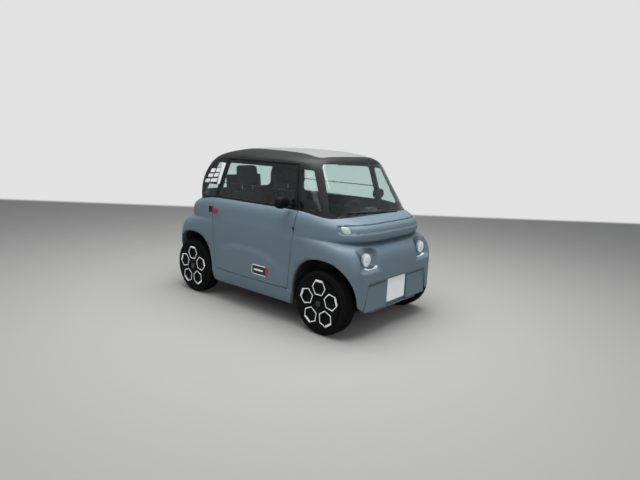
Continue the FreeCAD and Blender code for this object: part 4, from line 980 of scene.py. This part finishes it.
# The wall glows evenly where it is seen directly or through glass, and lights nothing
seen = work_out(studio_paint, "MULTIPLY", wall_share.outputs[0], work_out(
    studio_paint, "MAXIMUM", ray_kind.outputs["Is Camera Ray"],
    ray_kind.outputs["Is Transmission Ray"]))
studio_paint.node_tree.links.new(seen, wall_mix.inputs[0])
join(studio_paint, (studio_paint.node_tree.nodes["Principled BSDF"], "BSDF"), (wall_mix, 1),
     (wall_glow, 0), (wall_mix, 2),
     (wall_mix, 0), (studio_paint.node_tree.nodes["Material Output"], "Surface"))
across, rise = sweep_line()
ahead = np.array((math.sin(YAW), math.cos(YAW)))
aside = np.array((math.cos(YAW), -math.sin(YAW)))
ends = []
for half in (-BACKDROP_HALF, BACKDROP_HALF):
    plan = across[:, None] * ahead + half * aside
    ends.append(np.column_stack([plan, rise]))
grid = np.stack(ends, axis=1)
count = len(across)
studio_mesh = bpy.data.meshes.new("Studio_sweep")
studio_mesh.from_pydata(grid.reshape(-1, 3).tolist(), [],
                        [(2 * k, 2 * k + 1, 2 * k + 3, 2 * k + 2) for k in range(count - 1)])
studio_mesh.materials.append(studio_paint)
studio_mesh.shade_smooth()
studio_sweep = bpy.data.objects.new("Studio_sweep", studio_mesh)
bpy.context.scene.collection.objects.link(studio_sweep)
world = bpy.data.worlds.new("Studio_world")
bpy.context.scene.world = world
world.use_nodes = True
world.node_tree.nodes["Background"].inputs["Color"].default_value = (0.80, 0.82, 0.84, 1)
world.node_tree.nodes["Background"].inputs["Strength"].default_value = 0.55


def soft_lamp(name, place, target, size, watts):
    """A square area lamp that faces its target."""
    lamp = bpy.data.lights.new(name, "AREA")
    lamp.shape = "SQUARE"
    lamp.size = size
    lamp.energy = watts
    holder = bpy.data.objects.new(name, lamp)
    bpy.context.scene.collection.objects.link(holder)
    aim = Vector(target) - Vector(place)
    turn = aim.to_track_quat("-Z", "Y").to_matrix().to_4x4()
    holder.matrix_world = Matrix.Translation(place) @ turn
    return holder


soft_lamp("Overhead_softbox", (-0.2, -0.3, 4.4), (0, 0, 0.6), 4.4, 320)
soft_lamp("Front_fill", (-3.2, -6.4, 3.0), (0, 0, 0.6), 3.0, 70)
soft_lamp("Right_side_fill", (-5.5, 0.5, 5.0), (0, 0, 0.9), 3.0, 45)

forward = Vector((math.sin(YAW) * math.cos(PITCH), math.cos(YAW) * math.cos(PITCH),
                  math.sin(PITCH)))
level_right = Vector((math.cos(YAW), -math.sin(YAW), 0))
level_up = level_right.cross(forward)
right = level_right * math.cos(ROLL) + level_up * math.sin(ROLL)
up = level_up * math.cos(ROLL) - level_right * math.sin(ROLL)
camera_data = bpy.data.cameras.new("Viewpoint")
camera_data.sensor_width = 36
camera_data.lens = FOCAL_PIXELS / PICTURE_WIDTH * camera_data.sensor_width
camera = bpy.data.objects.new("Viewpoint", camera_data)
facing = Matrix((right, up, -forward)).transposed().to_4x4()
camera.matrix_world = Matrix.Translation(VIEWPOINT) @ facing
bpy.context.scene.collection.objects.link(camera)
bpy.context.scene.camera = camera
bpy.context.scene.view_settings.view_transform = "Standard"
